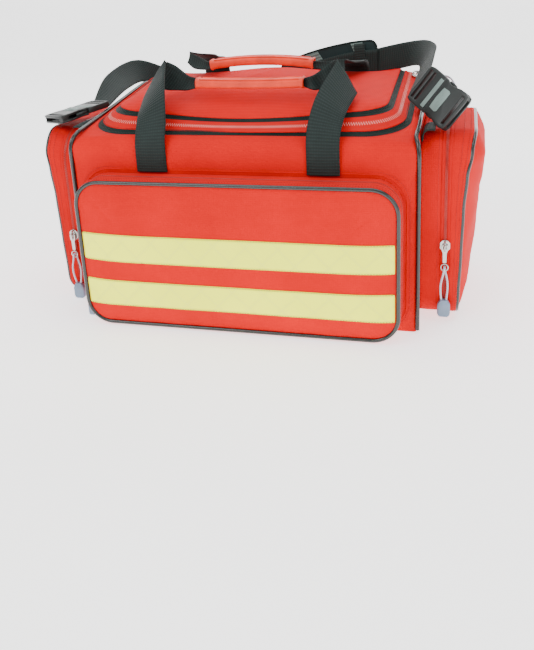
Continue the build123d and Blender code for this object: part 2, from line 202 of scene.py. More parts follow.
def ribbed(name, base, pitch, roughness=0.6, contrast=0.45, sheen=0.15):
    """Webbing or tape: ribs across the length, read along the strip's own measure."""
    n = Nodes(name)
    along = n.place("UV")
    ribs = n.wave(wave_scale(pitch), "Y", along)
    threads = n.wave(wave_scale(0.0016), "X", along)
    weave = n.math("MULTIPLY", ribs, n.math("ADD", n.math("MULTIPLY", threads, 0.5), 0.5))
    cloud = n.noise(30.0, 3.0)
    colour = n.ramp(n.math("ADD", n.math("MULTIPLY", weave, 0.6), n.math("MULTIPLY", cloud, 0.4)),
                    [(0.15, scaled(base, 1 - contrast)), (0.5, base), (0.85, scaled(base, 1 + contrast))])
    normal = n.bump(weave, 0.0005, 0.9)
    return n.finish(colour, roughness, normal, Sheen_Weight=sheen, Sheen_Roughness=0.5, Specular_IOR_Level=0.2)


def moulded(name, base, roughness=0.35, grain=900.0, depth=0.00004, coat=0.0, mottling=0.15):
    n = Nodes(name)
    cloud = n.noise(45.0, 3.0)
    colour = n.ramp(cloud, [(0.3, scaled(base, 1 - mottling)), (0.7, scaled(base, 1 + mottling))])
    rough = n.math("ADD", n.math("MULTIPLY", n.noise(120.0, 3.0), 0.16), roughness - 0.08)
    normal = n.bump(n.noise(grain, 2.0), depth, 0.8)
    return n.finish(colour, rough, normal, Coat_Weight=coat, Coat_Roughness=0.15)


def metal(name, base):
    n = Nodes(name)
    cloud = n.noise(300.0, 4.0, 0.6)
    colour = n.ramp(cloud, [(0.35, scaled(base, 0.8)), (0.7, base)])
    rough = n.math("ADD", n.math("MULTIPLY", cloud, 0.2), 0.14)
    normal = n.bump(n.noise(700.0, 2.0), 0.00005, 0.6)
    return n.finish(colour, rough, normal, Metallic=1.0)


def reflective(name, base):
    """Fluorescent tape: faint embossed lattice of diamonds under a smooth clear face, with a painted glow: emission in
    the tape's own colour brightens it.
    """
    n = Nodes(name)
    place = n.place()
    mapping = n.add("ShaderNodeMapping")
    mapping.inputs["Rotation"].default_value = (0, math.radians(45), 0)
    n.link(place, mapping.inputs["Vector"])
    lattice = mapping.outputs["Vector"]
    lines_a = n.wave(11.0, "X", lattice, profile="TRI")
    lines_b = n.wave(11.0, "Z", lattice, profile="TRI")
    ridge = n.math("MAXIMUM", n.math("GREATER_THAN", lines_a, 0.93), n.math("GREATER_THAN", lines_b, 0.93))
    cloud = n.noise(9.0, 3.0)
    colour = n.ramp(cloud, [(0.35, scaled(base, 0.92)), (0.7, base)])
    colour = n.mix(n.math("MULTIPLY", ridge, 0.35), colour, (0.60, 0.66, 0.10))
    cells = n.noise(900.0, 1.0)
    normal = n.bump(cells, 0.00005, 0.5, n.bump(ridge, 0.00025, 0.6))
    # Painted glow: the tape emits its own colour, so it looks brighter than the lamps alone would make it.
    n.link(colour, n.shader.inputs["Emission Color"])
    return n.finish(colour, 0.4, normal, Coat_Weight=0.08, Coat_Roughness=0.2, Specular_IOR_Level=0.2,
                    Emission_Strength=0.75)


def braided(name, base):
    n = Nodes(name)
    twist = n.wave(190.0, "DIAGONAL", distortion=1.0)
    colour = n.ramp(twist, [(0.1, scaled(base, 0.78)), (0.8, scaled(base, 1.08))])
    normal = n.bump(twist, 0.0002, 0.8)
    return n.finish(colour, 0.55, normal, Sheen_Weight=0.2)


RED = (0.68, 0.004, 0.004)
DARK = (0.028, 0.046, 0.042)
MATERIALS = {
    "red_nylon": woven("red_nylon", RED),
    "lining": woven("lining", (0.10, 0.012, 0.012), sheen=0.1),
    "zip_tape": woven("zip_tape", (0.64, 0.005, 0.005), 0.0007, 0.7, 0.02),
    "binding_tape": woven("binding_tape", (0.014, 0.024, 0.021), 0.0012, 0.55, 0.06, 0.35, 0.0003),
    "webbing": ribbed("webbing", (0.013, 0.022, 0.020), 0.0019, 0.62, 0.35, 0.03),
    "strap_pad": woven("strap_pad", (0.018, 0.031, 0.031), 0.0016, 0.7, 0.1, 0.3),
    "pad_band": ribbed("pad_band", (0.12, 0.17, 0.155), 0.0024),
    "piping": moulded("piping", (0.013, 0.017, 0.016), 0.24, 600.0, 0.00005, 0.2, 0.25),
    "teeth": moulded("teeth", (0.70, 0.19, 0.16), 0.35, 900.0, 0.00002),
    "coil_red": moulded("coil_red", (0.50, 0.030, 0.024), 0.4, 900.0, 0.00002),
    "reflective_tape": reflective("reflective_tape", (0.88, 0.95, 0.03)),
    "grip_plastic": moulded("grip_plastic", (0.86, 0.036, 0.002), 0.5, 500.0, 0.00012, 0.0, 0.2),
    "buckle_plastic": moulded("buckle_plastic", (0.010, 0.014, 0.013), 0.36, 1500.0, 0.00003),
    "buckle_grey": moulded("buckle_grey", (0.17, 0.24, 0.22), 0.45, 1500.0, 0.00004),
    "slider_metal": metal("slider_metal", (0.56, 0.56, 0.53)),
    "pull_cord": braided("pull_cord", (0.60, 0.65, 0.74)),
    "pull_tag": moulded("pull_tag", (0.19, 0.27, 0.37), 0.5, 700.0, 0.0001),
    "board": moulded("board", (0.02, 0.02, 0.02), 0.7),
    "stitch": moulded("stitch", (0.42, 0.018, 0.016), 0.8),
    "stitch_dark": moulded("stitch_dark", (0.012, 0.016, 0.016), 0.8),
}


# ---------------------------------------------------------------- mesh helpers
def new_object(name, vertices, faces, material, smooth=True):
    mesh = bpy.data.meshes.new(name)
    mesh.from_pydata([tuple(v) for v in vertices], [], faces)
    mesh.validate()
    mesh.materials.append(MATERIALS[material])
    mesh.polygons.foreach_set("use_smooth", [smooth] * len(mesh.polygons))
    obj = bpy.data.objects.new(name, mesh)
    bpy.context.collection.objects.link(obj)
    return obj


def apply_all(obj):
    """Turns the object's modifiers into its mesh."""
    graph = bpy.context.evaluated_depsgraph_get()
    graph.update()
    mesh = bpy.data.meshes.new_from_object(obj.evaluated_get(graph), preserve_all_data_layers=True,
                                           depsgraph=graph)
    obj.modifiers.clear()
    obj.data = mesh
    return obj


def fix_normals(obj):
    work = bmesh.new()
    work.from_mesh(obj.data)
    bmesh.ops.recalc_face_normals(work, faces=work.faces)
    work.to_mesh(obj.data)
    work.free()


def thicken(obj, thickness, offset=-1.0, lined=False):
    """Gives a surface its thickness. A lined one gets the lining's material on its inner side."""
    solid = obj.modifiers.new("thickness", "SOLIDIFY")
    solid.thickness = thickness
    solid.offset = offset
    if lined:
        obj.data.materials.append(MATERIALS["lining"])
        solid.material_offset = 1
    return apply_all(obj)


def face_along(obj, outward):
    """Turns all the faces over if they look against outward(face) on the whole."""
    if sum(p.normal.dot(outward(p)) for p in obj.data.polygons) < 0:
        obj.data.flip_normals()


def settle(obj, slot, body, *nodes):
    """Takes the place of CAD nodes, if any are named, and rides on a body."""
    if nodes:
        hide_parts(*nodes)
    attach(obj, body)


def catmull(points, samples, closed=False):
    """Evenly parametrised smooth curve through the points."""
    count = len(points)
    runs = count if closed else count - 1
    out = []
    for step in range(samples + (0 if closed else 1)):
        place = step / samples * runs
        run = min(int(place), runs - 1)
        t = place - run
        if closed:
            four = [points[(run + k) % count] for k in (-1, 0, 1, 2)]
        else:
            four = [points[min(max(run + k, 0), count - 1)] for k in (-1, 0, 1, 2)]
        a, b, c, d = four
        out.append(0.5 * ((2 * b) + (c - a) * t + (2 * a - 5 * b + 4 * c - d) * t * t
                          + (3 * b - a - 3 * c + d) * t ** 3))
    return out


def evenly(points, spacing, closed=False):
    """Points at even distances along a polyline."""
    line = list(points) + ([points[0]] if closed else [])
    lengths = [0.0]
    for a, b in zip(line, line[1:]):
        lengths.append(lengths[-1] + (b - a).length)
    count = max(2, round(lengths[-1] / spacing))
    out = []
    index = 0
    for step in range(count + (0 if closed else 1)):
        target = lengths[-1] * step / count
        while index < len(lengths) - 2 and lengths[index + 1] < target:
            index += 1
        span = lengths[index + 1] - lengths[index] or 1.0
        out.append(line[index].lerp(line[index + 1], min(1.0, (target - lengths[index]) / span)))
    return out


def grid_faces(rows, columns, closed_rows=False, closed_columns=False):
    faces = []
    for i in range(rows if closed_rows else rows - 1):
        for j in range(columns if closed_columns else columns - 1):
            a = i * columns + j
            b = i * columns + (j + 1) % columns
            c = ((i + 1) % rows) * columns + (j + 1) % columns
            d = ((i + 1) % rows) * columns + j
            faces.append((a, b, c, d))
    return faces


def tube(name, points, radius, material, closed=False, sides=10):
    """Round tube along points, with frames carried along so that it doesn't twist."""
    count = len(points)
    vertices = []
    side = None
    for index, point in enumerate(points):
        ahead = points[(index + 1) % count] if closed else points[min(index + 1, count - 1)]
        behind = points[index - 1] if closed or index else points[0]
        forward = (ahead - behind).normalized()
        if side is None:
            side = forward.orthogonal().normalized()
        side = (side - forward * side.dot(forward)).normalized()
        up = forward.cross(side)
        for k in range(sides):
            angle = 2 * math.pi * k / sides
            vertices.append(point + side * radius * math.cos(angle) + up * radius * math.sin(angle))
    faces = grid_faces(count, sides, closed, True)
    if not closed:
        faces.append(tuple(range(sides)))
        faces.append(tuple(reversed(range((count - 1) * sides, count * sides))))
    obj = new_object(name, vertices, faces, material)
    fix_normals(obj)
    return obj


def strip(name, left, right, thickness, material, across=8, spacing=3.0 * MM, crown=0.0, offset=0.0):
    """Webbing between two edge lines: smooth lengthwise, with a measure along it for the ribs."""
    samples = max(8, int(sum((b - a).length for a, b in zip(left, left[1:])) / spacing))
    left_line = catmull(left, samples)
    right_line = catmull(right, samples)
    vertices, measures = [], []
    along = 0.0
    for row, (a, b) in enumerate(zip(left_line, right_line)):
        if row:
            along += ((a + b) / 2 - (left_line[row - 1] + right_line[row - 1]) / 2).length
        ahead = (left_line[min(row + 1, samples)] + right_line[min(row + 1, samples)]) / 2
        behind = (left_line[max(row - 1, 0)] + right_line[max(row - 1, 0)]) / 2
        normal = (b - a).cross(ahead - behind).normalized()
        for k in range(across + 1):
            t = k / across
            lift = crown * 4 * t * (1 - t) + offset
            vertices.append(a.lerp(b, t) + normal * lift)
            measures.append(((b - a).length * t, along))
    obj = new_object(name, vertices, grid_faces(samples + 1, across + 1), material)
    layer = obj.data.uv_layers.new(name="measure")
    for loop in obj.data.loops:
        layer.data[loop.index].uv = measures[loop.vertex_index]
    return thicken(obj, thickness, 0.0)


def joined(name, objects):
    """One object of several, keeping each one's material."""
    for obj in bpy.context.selected_objects:
        obj.select_set(False)
    for obj in objects:
        obj.select_set(True)
    bpy.context.view_layer.objects.active = objects[0]
    bpy.ops.object.join()
    objects[0].name = name
    objects[0].select_set(False)
    return objects[0]


def box(name, size, centre, material, frame_matrix=Matrix(), bevel=0.0006, segments=2):
    work = bmesh.new()
    bmesh.ops.create_cube(work, size=1.0)
    bmesh.ops.scale(work, vec=size, verts=work.verts)
    if bevel:
        bmesh.ops.bevel(work, geom=work.edges[:], offset=bevel, segments=segments, affect="EDGES", profile=0.5)
    bmesh.ops.transform(work, matrix=frame_matrix @ Matrix.Translation(centre), verts=work.verts)
    mesh = bpy.data.meshes.new(name)
    work.to_mesh(mesh)
    work.free()
    mesh.materials.append(MATERIALS[material])
    mesh.polygons.foreach_set("use_smooth", [False] * len(mesh.polygons))
    obj = bpy.data.objects.new(name, mesh)
    bpy.context.collection.objects.link(obj)
    return obj


def soft_noise(point, scale, seed=0.0):
    return noise.noise(Vector((point.x * scale + seed, point.y * scale - seed, point.z * scale + 2 * seed)))


# ---------------------------------------------------------------- body shell
def sagged(point, share):
    """The front of the lid and its zip droop between the handles: moves a point down and forward."""
    x, y = point.x / MM, point.y / MM
    across = max(0.0, 1 - (x / 165) ** 2) ** 1.5
    back = max(0.0, min(1.0, (60 - y) / 150))
    amount = across * back * share
    return point + mm(0, -5.5, -9.5) * amount


def ring(front_y, front_z, rear_z, half, corner, rear_y=118.0, rear_corner=None, sides=38, turn=14, front=30):
    """Line round the bag seen from above, in mm: from the right rear by the front to the left rear.

    With rear_corner it closes along the rear edge too.
    """
    right = []
    start = rear_y - (rear_corner or 0)
    for k in range(sides):
        right.append((half, start + (front_y + corner - start) * k / sides))
    for k in range(turn + 1):
        angle = math.pi / 2 * k / turn
        right.append((half - corner + corner * math.cos(angle), front_y + corner - corner * math.sin(angle)))
    for k in range(1, front + 1):
        right.append(((half - corner) * (1 - k / front), front_y))
    flat = right + [(-x, y) for x, y in reversed(right[:-1])]
    if rear_corner is not None:
        rear = []
        for k in range(1, 7):
            angle = math.pi / 2 * k / 6
            rear.append((-half + rear_corner * (1 - math.cos(angle)), start + rear_corner * math.sin(angle)))
        reach = half - rear_corner
        rear += [(-reach + 2 * reach * k / 60, rear_y) for k in range(1, 60)]
        rear += [(-x, y) for x, y in reversed(rear[:6])]
        flat += rear
    slope = (rear_z - front_z) / (rear_y - front_y)
    return [mm(x, y, front_z + slope * (y - front_y)) for x, y in flat]


def rim(t, lift=0.0, **counts):
    """The sloping rim that carries the bindings and the main zip, at height fraction t."""
    line = ring(-126 + 30 * t, 243 + 27 * t, 276 + 10 * t, 208 - 30 * t, 56 - 20 * t, **counts)
    line = [sagged(p, t) for p in line]
    if not lift:
        return line
    above = ring(-126 + 30 * (t + 0.02), 243 + 27 * (t + 0.02), 276 + 10 * (t + 0.02),
                 208 - 30 * (t + 0.02), 56 - 20 * (t + 0.02), **counts)
    above = [sagged(p, t + 0.02) for p in above]
    out = []
    for index, point in enumerate(line):
        ahead = line[min(index + 1, len(line) - 1)] - line[max(index - 1, 0)]
        out.append(point + (above[index] - point).cross(ahead).normalized() * -lift * MM)
    return out


def shell(name, rings, material, closed=False):
    """Surface through rings of equal count."""
    vertices = [v for line in rings for v in line]
    return new_object(name, vertices, grid_faces(len(rings), len(rings[0]), closed_columns=closed), material)


def billow(obj, pinned, pressure, frames, cap, seed):
    """Short seeded cloth run: the free part swells and wrinkles under pressure, its seams stay put."""
    for vertex in obj.data.vertices:
        if not pinned(vertex.co):
            vertex.co += vertex.normal * soft_noise(vertex.co, 22.0, seed) * 0.0012
    group = obj.vertex_groups.new(name="held")
    rest = [v.co.copy() for v in obj.data.vertices]
    group.add([v.index for v in obj.data.vertices if pinned(v.co)], 1.0, "REPLACE")
    cloth = obj.modifiers.new("cloth", "CLOTH")
    settings = cloth.settings
    settings.vertex_group_mass = "held"
    settings.effector_weights.gravity = 0
    settings.use_pressure = True
    settings.uniform_pressure_force = pressure
    settings.quality = 4
    settings.mass = 0.12
    settings.tension_stiffness = settings.compression_stiffness = 30
    settings.shear_stiffness = 12
    settings.bending_stiffness = 0.35
    cloth.collision_settings.use_self_collision = False
    cloth.collision_settings.use_collision = False
    scene = bpy.context.scene
    for frame_number in range(1, frames + 1):
        scene.frame_set(frame_number)
    apply_all(obj)
    scene.frame_set(1)
    for vertex, place in zip(obj.data.vertices, rest):
        move = vertex.co - place
        if move.length > cap * MM:
            vertex.co = place + move.normalized() * cap * MM
    obj.vertex_groups.clear()


def body_rings():
    """Wall and shoulder of the main bag, from the base to the foot of the rim."""
    lines = []
    for k in range(31):
        s = k / 30
        lines.append(ring(-140, 1.2 + 226 * s, 1.2 + 257 * s, 219.2, 3.5, 140, 3.5))
    lines.append(ring(-139, 232.5, 263, 219, 5, 139.5, 4))
    lines.append(ring(-136.5, 237, 267, 218.2, 9, 137.5, 5))
    lines.append(ring(-133, 240, 270, 217, 17, 133.5, 6))
    lines.append(ring(-129.5, 241.8, 273, 214, 34, 127, 5))
    lines.append(ring(-127, 242.8, 275.4, 210, 50, 121, 4))
    lines.append(ring(-125, 243.6, 276.4, 207.4, 55.6, 118.6, 3))
    return lines


def body_wave(vertex):
    """Soft creases of the upper front: long shallow folds that fade out at the seams."""
    p = vertex.co / MM
    if p.z < 196 or p.y > -100:
        return
    height = math.sin(math.pi * min(1.0, max(0.0, (p.z - 196) / 47)))
    fold = math.sin(p.x / 23 + 1.7 * math.sin(p.z / 13)) + 0.7 * math.sin(p.x / 41 - p.z / 9 + 1.0)
    vertex.co.y -= 0.7 * MM * height * fold


def build_body():
    rings = body_rings()
    base = rings[0]
    floor_rings = []
    for k in range(9):
        keep = 0.02 + 0.98 * (1 - (8 - k) / 8)
        floor_rings.append([mm(v.x / MM * keep, v.y / MM * keep, 0.6) for v in base])
    rings = floor_rings + rings
    obj = shell("body_shell", rings, "red_nylon", True)
    work = bmesh.new()
    work.from_mesh(obj.data)
    work.verts.ensure_lookup_table()
    count = len(rings[0])
    work.faces.new([work.verts[i] for i in reversed(range(count))])
    bmesh.ops.recalc_face_normals(work, faces=work.faces)
    work.to_mesh(obj.data)
    work.free()
    for vertex in obj.data.vertices:
        body_wave(vertex)
    obj.data.update()

    def pinned(p):
        x, y, z = abs(p.x) / MM, p.y / MM, p.z / MM
        if z < 6 or z > 240 + (y + 126) * 0.13:
            return True
        on_front = y < -134 and x < 205 and z < 198
        on_end = x > 214 and abs(y) < 108 and z < 242
        on_corner = x > 212 and abs(y) > 130
        on_rear = y > 132 and 86 < x < 132
        return on_front or on_end or on_corner or on_rear

    billow(obj, pinned, 2.2, 12, 3.0, 3.0)
    thicken(obj, 2.0 * MM, lined=True)
    settle(obj, "red_nylon", "root", "front_panel", "rear_panel", "right_end_panel", "left_end_panel",
           "bottom_panel")


def surface_of(obj):
    """Ray finder on an object's mesh."""
    work = bmesh.new()
    work.from_mesh(obj.data)
    tree = BVHTree.FromBMesh(work)
    work.free()
    return tree


def laid(tree, start, direction, lift):
    """The point where a line from start meets the surface, lifted off it, with the surface's direction."""
    place, normal, _, _ = tree.ray_cast(start, direction.normalized(), 0.2)
    if place is None:
        return None
    if normal.dot(direction) > 0:
        normal = -normal
    return place + normal * lift, normal


def stitches(name, line, normals, material="stitch", pitch=3.4, length=2.3, wide=0.55, high=0.35):
    """A row of short thread dashes along a line on a surface."""
    vertices, faces = [], []
    travelled, target = 0.0, 0.0
    for a, b, normal in zip(line, line[1:], normals):
        step = (b - a).length
        if step < 1e-7:
            continue
        forward = (b - a) / step
        while target < travelled + step:
            centre = a + forward * (target - travelled)
            side = forward.cross(normal).normalized()
            base = len(vertices)
            half = forward * length * MM / 2
            for end in (-1, 1):
                for across, rise in ((-1, -0.3), (-0.5, 1), (0.5, 1), (1, -0.3)):
                    shrink = 0.8 if rise > 0 else 1
                    vertices.append(centre + half * end * shrink + side * across * wide * MM / 2
                                    + normal * rise * high * MM)
            for k in range(3):
                faces.append((base + k, base + k + 1, base + 5 + k, base + 4 + k))
            faces.append((base + 3, base, base + 4, base + 7))
            faces.append((base, base + 1, base + 2, base + 3))
            faces.append((base + 7, base + 6, base + 5, base + 4))
            target += pitch * MM
        travelled += step
    obj = new_object(name, vertices, faces, material, smooth=False)
    fix_normals(obj)
    return obj


# Sections of one tooth: place across the line, width along it and height, as shares of its size.
TOOTH = ((-0.5, 0.55, 0.3), (-0.38, 0.9, 0.85), (0.38, 0.9, 0.85), (0.5, 0.55, 0.3))


def teeth(name, line, normals, pitch, size, phase, material="teeth"):
    """One side of a zip's coil: small rounded links across the line, the first one phase along it."""
    vertices, faces = [], []
    travelled, target = 0.0, phase * MM
    across, along, high = (v * MM for v in size)
    for a, b, normal in zip(line, line[1:], normals):
        step = (b - a).length
        if step < 1e-7:
            continue
        forward = (b - a) / step
        side = normal.cross(forward).normalized()
        while target < travelled + step:
            centre = a + forward * (target - travelled)
            base = len(vertices)
            for place, width, rise in TOOTH:
                for end in (-1, 1):
                    ground = centre + side * across * place + forward * end * along * width / 2
                    vertices.append(ground - normal * 0.3 * MM)
                    vertices.append(ground + normal * high * rise)
            for k in range(3):
                p, q = base + 4 * k, base + 4 * k + 4
                faces.append((p + 1, q + 1, q + 3, p + 3))
                faces.append((p, q, q + 1, p + 1))
                faces.append((p + 2, p + 3, q + 3, q + 2))
                faces.append((p, p + 2, q + 2, q))
            faces.append((base, base + 1, base + 3, base + 2))
            faces.append((base + 12, base + 14, base + 15, base + 13))
            target += pitch * MM
        travelled += step
    obj = new_object(name, vertices, faces, material, smooth=False)
    fix_normals(obj)
    return obj


def rim_band(name, low, high, lift, crown, thickness, material, steps=6, ripple=0.0, seed=0.0):
    """Tape round the rim between two height fractions, crowned across its width."""
    rings = []
    for k in range(steps + 1):
        t = low + (high - low) * k / steps
        rise = lift + crown * math.sin(math.pi * k / steps)
        line = rim(t, rise)
        if ripple:
            for point in line:
                shift = soft_noise(point, 11.0, seed) * ripple
                point.z += shift * MM
                point.y -= 0.4 * shift * MM if point.y < -0.05 else 0
        rings.append(line)
    obj = shell(name, rings, material)
    fix_normals(obj)
    face_along(obj, lambda face: face.center - mm(0, 0, 240))
    return thicken(obj, thickness * MM)


def rim_line(t, lift):
    """Even line on the rim with the surface's direction at each point."""
    inner = rim(t, 0.0001, sides=90, turn=40, front=70)
    outer = rim(t, 1.0, sides=90, turn=40, front=70)
    line = [a + (b - a).normalized() * lift * MM for a, b in zip(inner, outer)]
    return line, [(b - a).normalized() for a, b in zip(inner, outer)]


def build_rim():
    lower = rim_band("body_binding_tape", 0.0, 0.27, 0.5, 1.3, 2.2, "binding_tape", 8, 1.6, 4.0)
    settle(lower, "binding_tape", "root", "body_binding")
    upper = rim_band("lid_binding_tape", 0.73, 1.0, 0.5, 1.3, 2.2, "binding_tape", 8, 1.0, 9.0)
    settle(upper, "binding_tape", "lid", "lid_binding")
    for name, low, high, node, body, chain, phase, seams in (
            ("main_zip_tape_body", 0.24, 0.508, "main_zip_body_side", "root", 0.487, 0.0, (0.33, 0.42)),
            ("main_zip_tape_lid", 0.522, 0.76, "main_zip_lid_side", "lid", 0.543, 1.5, (0.61, 0.70))):
        tape = rim_band(name, low, high, 0.2, 0.5, 1.2, "zip_tape", 6)
        parts = [tape]
        line, normals = rim_line(chain, 0.5)
        parts.append(teeth(name + "_teeth", line, normals, 3.0, (2.6, 1.2, 1.4), phase))
        for place in seams:
            line, normals = rim_line(place, 0.62)
            parts.append(stitches(name + "_stitch", line, normals))
        settle(joined(name, parts), "zip_tape", body, node)
    for name, places, body in (("body_binding_stitch", (0.045, 0.225), "root"),
                               ("lid_binding_stitch", (0.775, 0.955), "lid")):
        parts = []
        for place in places:
            line, normals = rim_line(place, 1.35)
            parts.append(stitches(name, line, normals, "stitch_dark"))
        settle(joined(name, parts), "binding_tape", body)


LID_CROWN = 8.8  # mm that the middle of the lid stands above its edge


def build_lid():
    """Lid: soft dome inside the upper binding, its middle carried by the rear hinge edge."""
    sections = [(-96.4, 269.8, 285.8, 178.4, 36.2), (-95.0, 270.7, 286.2, 176.8, 36)]
    sections += [(-91, 272.2, 285.8, 173.5, 36), (-84, 274.2, 284.6, 169, 35), (-76, 276.2, 283.6, 164, 34)]
    sections += [(-64, 278.2, 282.8, 152, 32), (-50, 279.8, 282.2, 138, 30), (-34, 280.8, 281.8, 120, 28)]
    sections += [(-16, 281.4, 281.7, 100, 25), (4, 281.8, 281.6, 78, 21), (26, 281.9, 281.5, 56, 17)]
    sections += [(50, 281.8, 281.4, 36, 12), (74, 281.6, 281.4, 20, 8), (98, 281.5, 281.4, 8, 4)]
    rings = [[sagged(p, 1.0) for p in ring(a, b, c, d, e)] for a, b, c, d, e in sections]
    rings.append([Vector((p.x * 0.01, 0.118 + 0.01 * (p.y - 0.118), 0.2814)) for p in rings[-1]])
    obj = shell("lid_dome", rings, "red_nylon")
    face_along(obj, lambda face: Vector((0, 0, 1)))
    for vertex in obj.data.vertices:
        p = vertex.co / MM
        inside = max(0.0, min(1.0, (p.z - 270) / 9)) * max(0.0, min(1.0, (174 - abs(p.x)) / 20))
        if p.y < 108:
            fold = math.sin((p.x * 0.6 + p.y * 0.8) / 19 + 1.4 * math.sin(p.x / 34)) \
                + 0.8 * math.sin((p.x * 0.8 - p.y * 0.5) / 27 + 0.6)
            vertex.co.z += 0.55 * MM * fold * inside * min(1.0, (108 - p.y) / 30)
        crown = math.exp(-((p.x + 8) / 75) ** 2) * max(0.0, min(1.0, (p.y + 60) / 110))
        vertex.co.z += LID_CROWN * MM * crown * inside
    obj.data.update()

    def pinned(p):
        x, y = abs(p.x) / MM, p.y / MM
        return y > 112 or x > 176 or y < -92 or (x > 140 and y < -60 and math.hypot(x - 142, y + 60) > 34)

    billow(obj, pinned, 1.4, 14, 3.5, 7.0)
    face_along(obj, lambda face: Vector((0, 0, 1)))
    thicken(obj, 2.2 * MM, lined=True)
    settle(obj, "red_nylon", "lid", "lid_panel")


def build_lid_hinge():
    """Cloth along the rear edge that joins the lid to the body."""
    rows = []
    for k in range(7):
        t = k / 6
        row = []
        for j in range(61):
            x = -176 + 352 * j / 60
            corner = max(0.0, min(1.0, (abs(x) - 120) / 50)) ** 2
            top = 281.4 + 4.4 * corner + LID_CROWN * math.exp(-((x + 8) / 75) ** 2)
            row.append(mm(x, 122.5 - 5.5 * t + 1.6 * math.sin(math.pi * t), 274.8 + (top - 274.8) * t))
        rows.append(row)
    obj = shell("lid_hinge_fold", rows, "red_nylon")
    face_along(obj, lambda face: Vector((0, 1, 0)))
    thicken(obj, 1.6 * MM)
    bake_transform(obj)


def build_pocket_seam():
    """Sewn flange round the front pocket where it meets the wall: a flat cord of cloth with its stitch line."""
    grown = outline(207.5, 0, 202, 37)
    points = [mm(u, -140.6, max(3.0, z)) for u, z in grown]
    line = points[18:len(points) - 17]
    parts = [tube("seam", evenly(line, 4 * MM), 0.9 * MM, "red_nylon", sides=8)]
    outer = [mm(u, -141.0, z) for u, z in outline(211, 0, 205.5, 40)][18:-17]
    parts.append(stitches("seam_stitch", outer, [Vector((0, -1, 0))] * len(outer)))
    settle(joined("front_wall_seam", parts), "red_nylon", "root")


def build_body_piping(sign, name, node):
    points = [(220.6, -140.2, z) for z in (4, 30, 60, 90, 120, 150, 180, 205, 222)]
    points += [(220, -138.6, 232), (218.6, -135.2, 239), (216.6, -129.6, 243.4), (216, -119, 246.2)]
    points += [(217, -90, 248.6), (217.2, -40, 253.8), (217.4, 10, 259.4), (217.6, 60, 265), (217.8, 100, 268.8)]
    points += [(218, 116, 269.6), (218.6, 128, 267.4), (219.8, 136.6, 261), (220.6, 140.2, 250)]
    points += [(220.6, 140.2, z) for z in (225, 190, 150, 110, 70, 35, 4)]
    line = evenly(catmull([mm(x * sign, y, z) for x, y, z in points], 400), 4 * MM)
    obj = tube(name, line, 2.7 * MM, "piping", sides=14)
    settle(obj, "piping", "root", node)


# ---------------------------------------------------------------- outer pockets
def outline(half, low, high, corner, inset=0.0, foot=None):
    """Rounded outline of a pocket, u and z in mm, from the bottom middle round by the right."""
    foot = max(1.0, (foot or corner) - inset)
    half, low, high, corner = half - inset, low + inset, high - inset, max(1.0, corner - inset)
    points = []
    for k in range(16):
        points.append(((half - foot) * k / 16, low))
    for k in range(12):
        angle = math.pi / 2 * k / 12
        points.append((half - foot + foot * math.sin(angle), low + foot - foot * math.cos(angle)))
    for k in range(24):
        points.append((half, low + foot + (high - low - foot - corner) * k / 24))
    for k in range(12):
        angle = math.pi / 2 * k / 12
        points.append((half - corner + corner * math.cos(angle), high - corner + corner * math.sin(angle)))
    for k in range(17):
        points.append(((half - corner) * (1 - k / 16), high))
    return points + [(-u, z) for u, z in reversed(points[1:-1])]


FLARE = [(0, 0.50), (40, 0.55), (90, 0.64), (150, 0.72), (190, 0.88), (220, 1.14), (246, 1.36)]


def flare_at(z):
    """How far the end pockets' covers stand out at a height: slack at the foot, pushed out at the top."""
    for (low, a), (high, b) in zip(FLARE, FLARE[1:]):
        if z <= high:
            t = max(0.0, (z - low) / (high - low))
            return a + (b - a) * t * t * (3 - 2 * t)
    return FLARE[-1][1]


class Pocket:
    """One outer pocket. place(u, depth, z) gives the frame point for a place across, out of and up the pocket."""

    def __init__(self, name, half, low, high, corner, outward, across, base, flare=False):
        self.name, self.half, self.low, self.high, self.corner = name, half, low, high, corner
        self.outward, self.across, self.base, self.flare = outward, across, base, flare
        self.foot = 27 if flare else corner

    def place(self, u, depth, z):
        if self.flare and depth > 36:
            depth = 36 + (depth - 36) * flare_at(z)
        return (self.across * u + self.outward * (self.base + depth)) * MM + Vector((0, 0, z * MM))

    def ring(self, depth, inset=0.0):
        line = outline(self.half, self.low, self.high, self.corner, inset, self.foot)
        return [self.place(u, depth, z) for u, z in line]

    def oriented(self, obj):
        """Turns the faces so that they look away from the pocket's middle."""
        centre = self.place(0, 0, (self.low + self.high) / 2)
        face_along(obj, lambda face: face.center - centre)

    def wall(self, name, depths, material, thickness, insets, open_bottom=False):
        """Band of fabric standing out round the pocket. open_bottom leaves out the hinge side."""
        rings = [self.ring(d, i) for d, i in zip(depths, insets)]
        if open_bottom:
            count = len(rings[0])
            rings = [line[18:count - 17] for line in rings]
        obj = shell(name, rings, material, not open_bottom)
        self.oriented(obj)
        return thicken(obj, thickness * MM)

    def chain(self, depth, lift):
        """Line round the three zipped sides at a depth, with outward directions."""
        count = len(outline(self.half, self.low, self.high, self.corner))
        inner = self.ring(depth, 0.0)[20:count - 19]
        outer = self.ring(depth, -1.0)[20:count - 19]
        outer = [b if (b - a).length > 1e-6 else a + Vector((0, 0, 1)) for a, b in zip(inner, outer)]
        normals = [(b - a).normalized() for a, b in zip(inner, outer)]
        line = [a + n * lift * MM for a, n in zip(inner, normals)]
        return line, normals


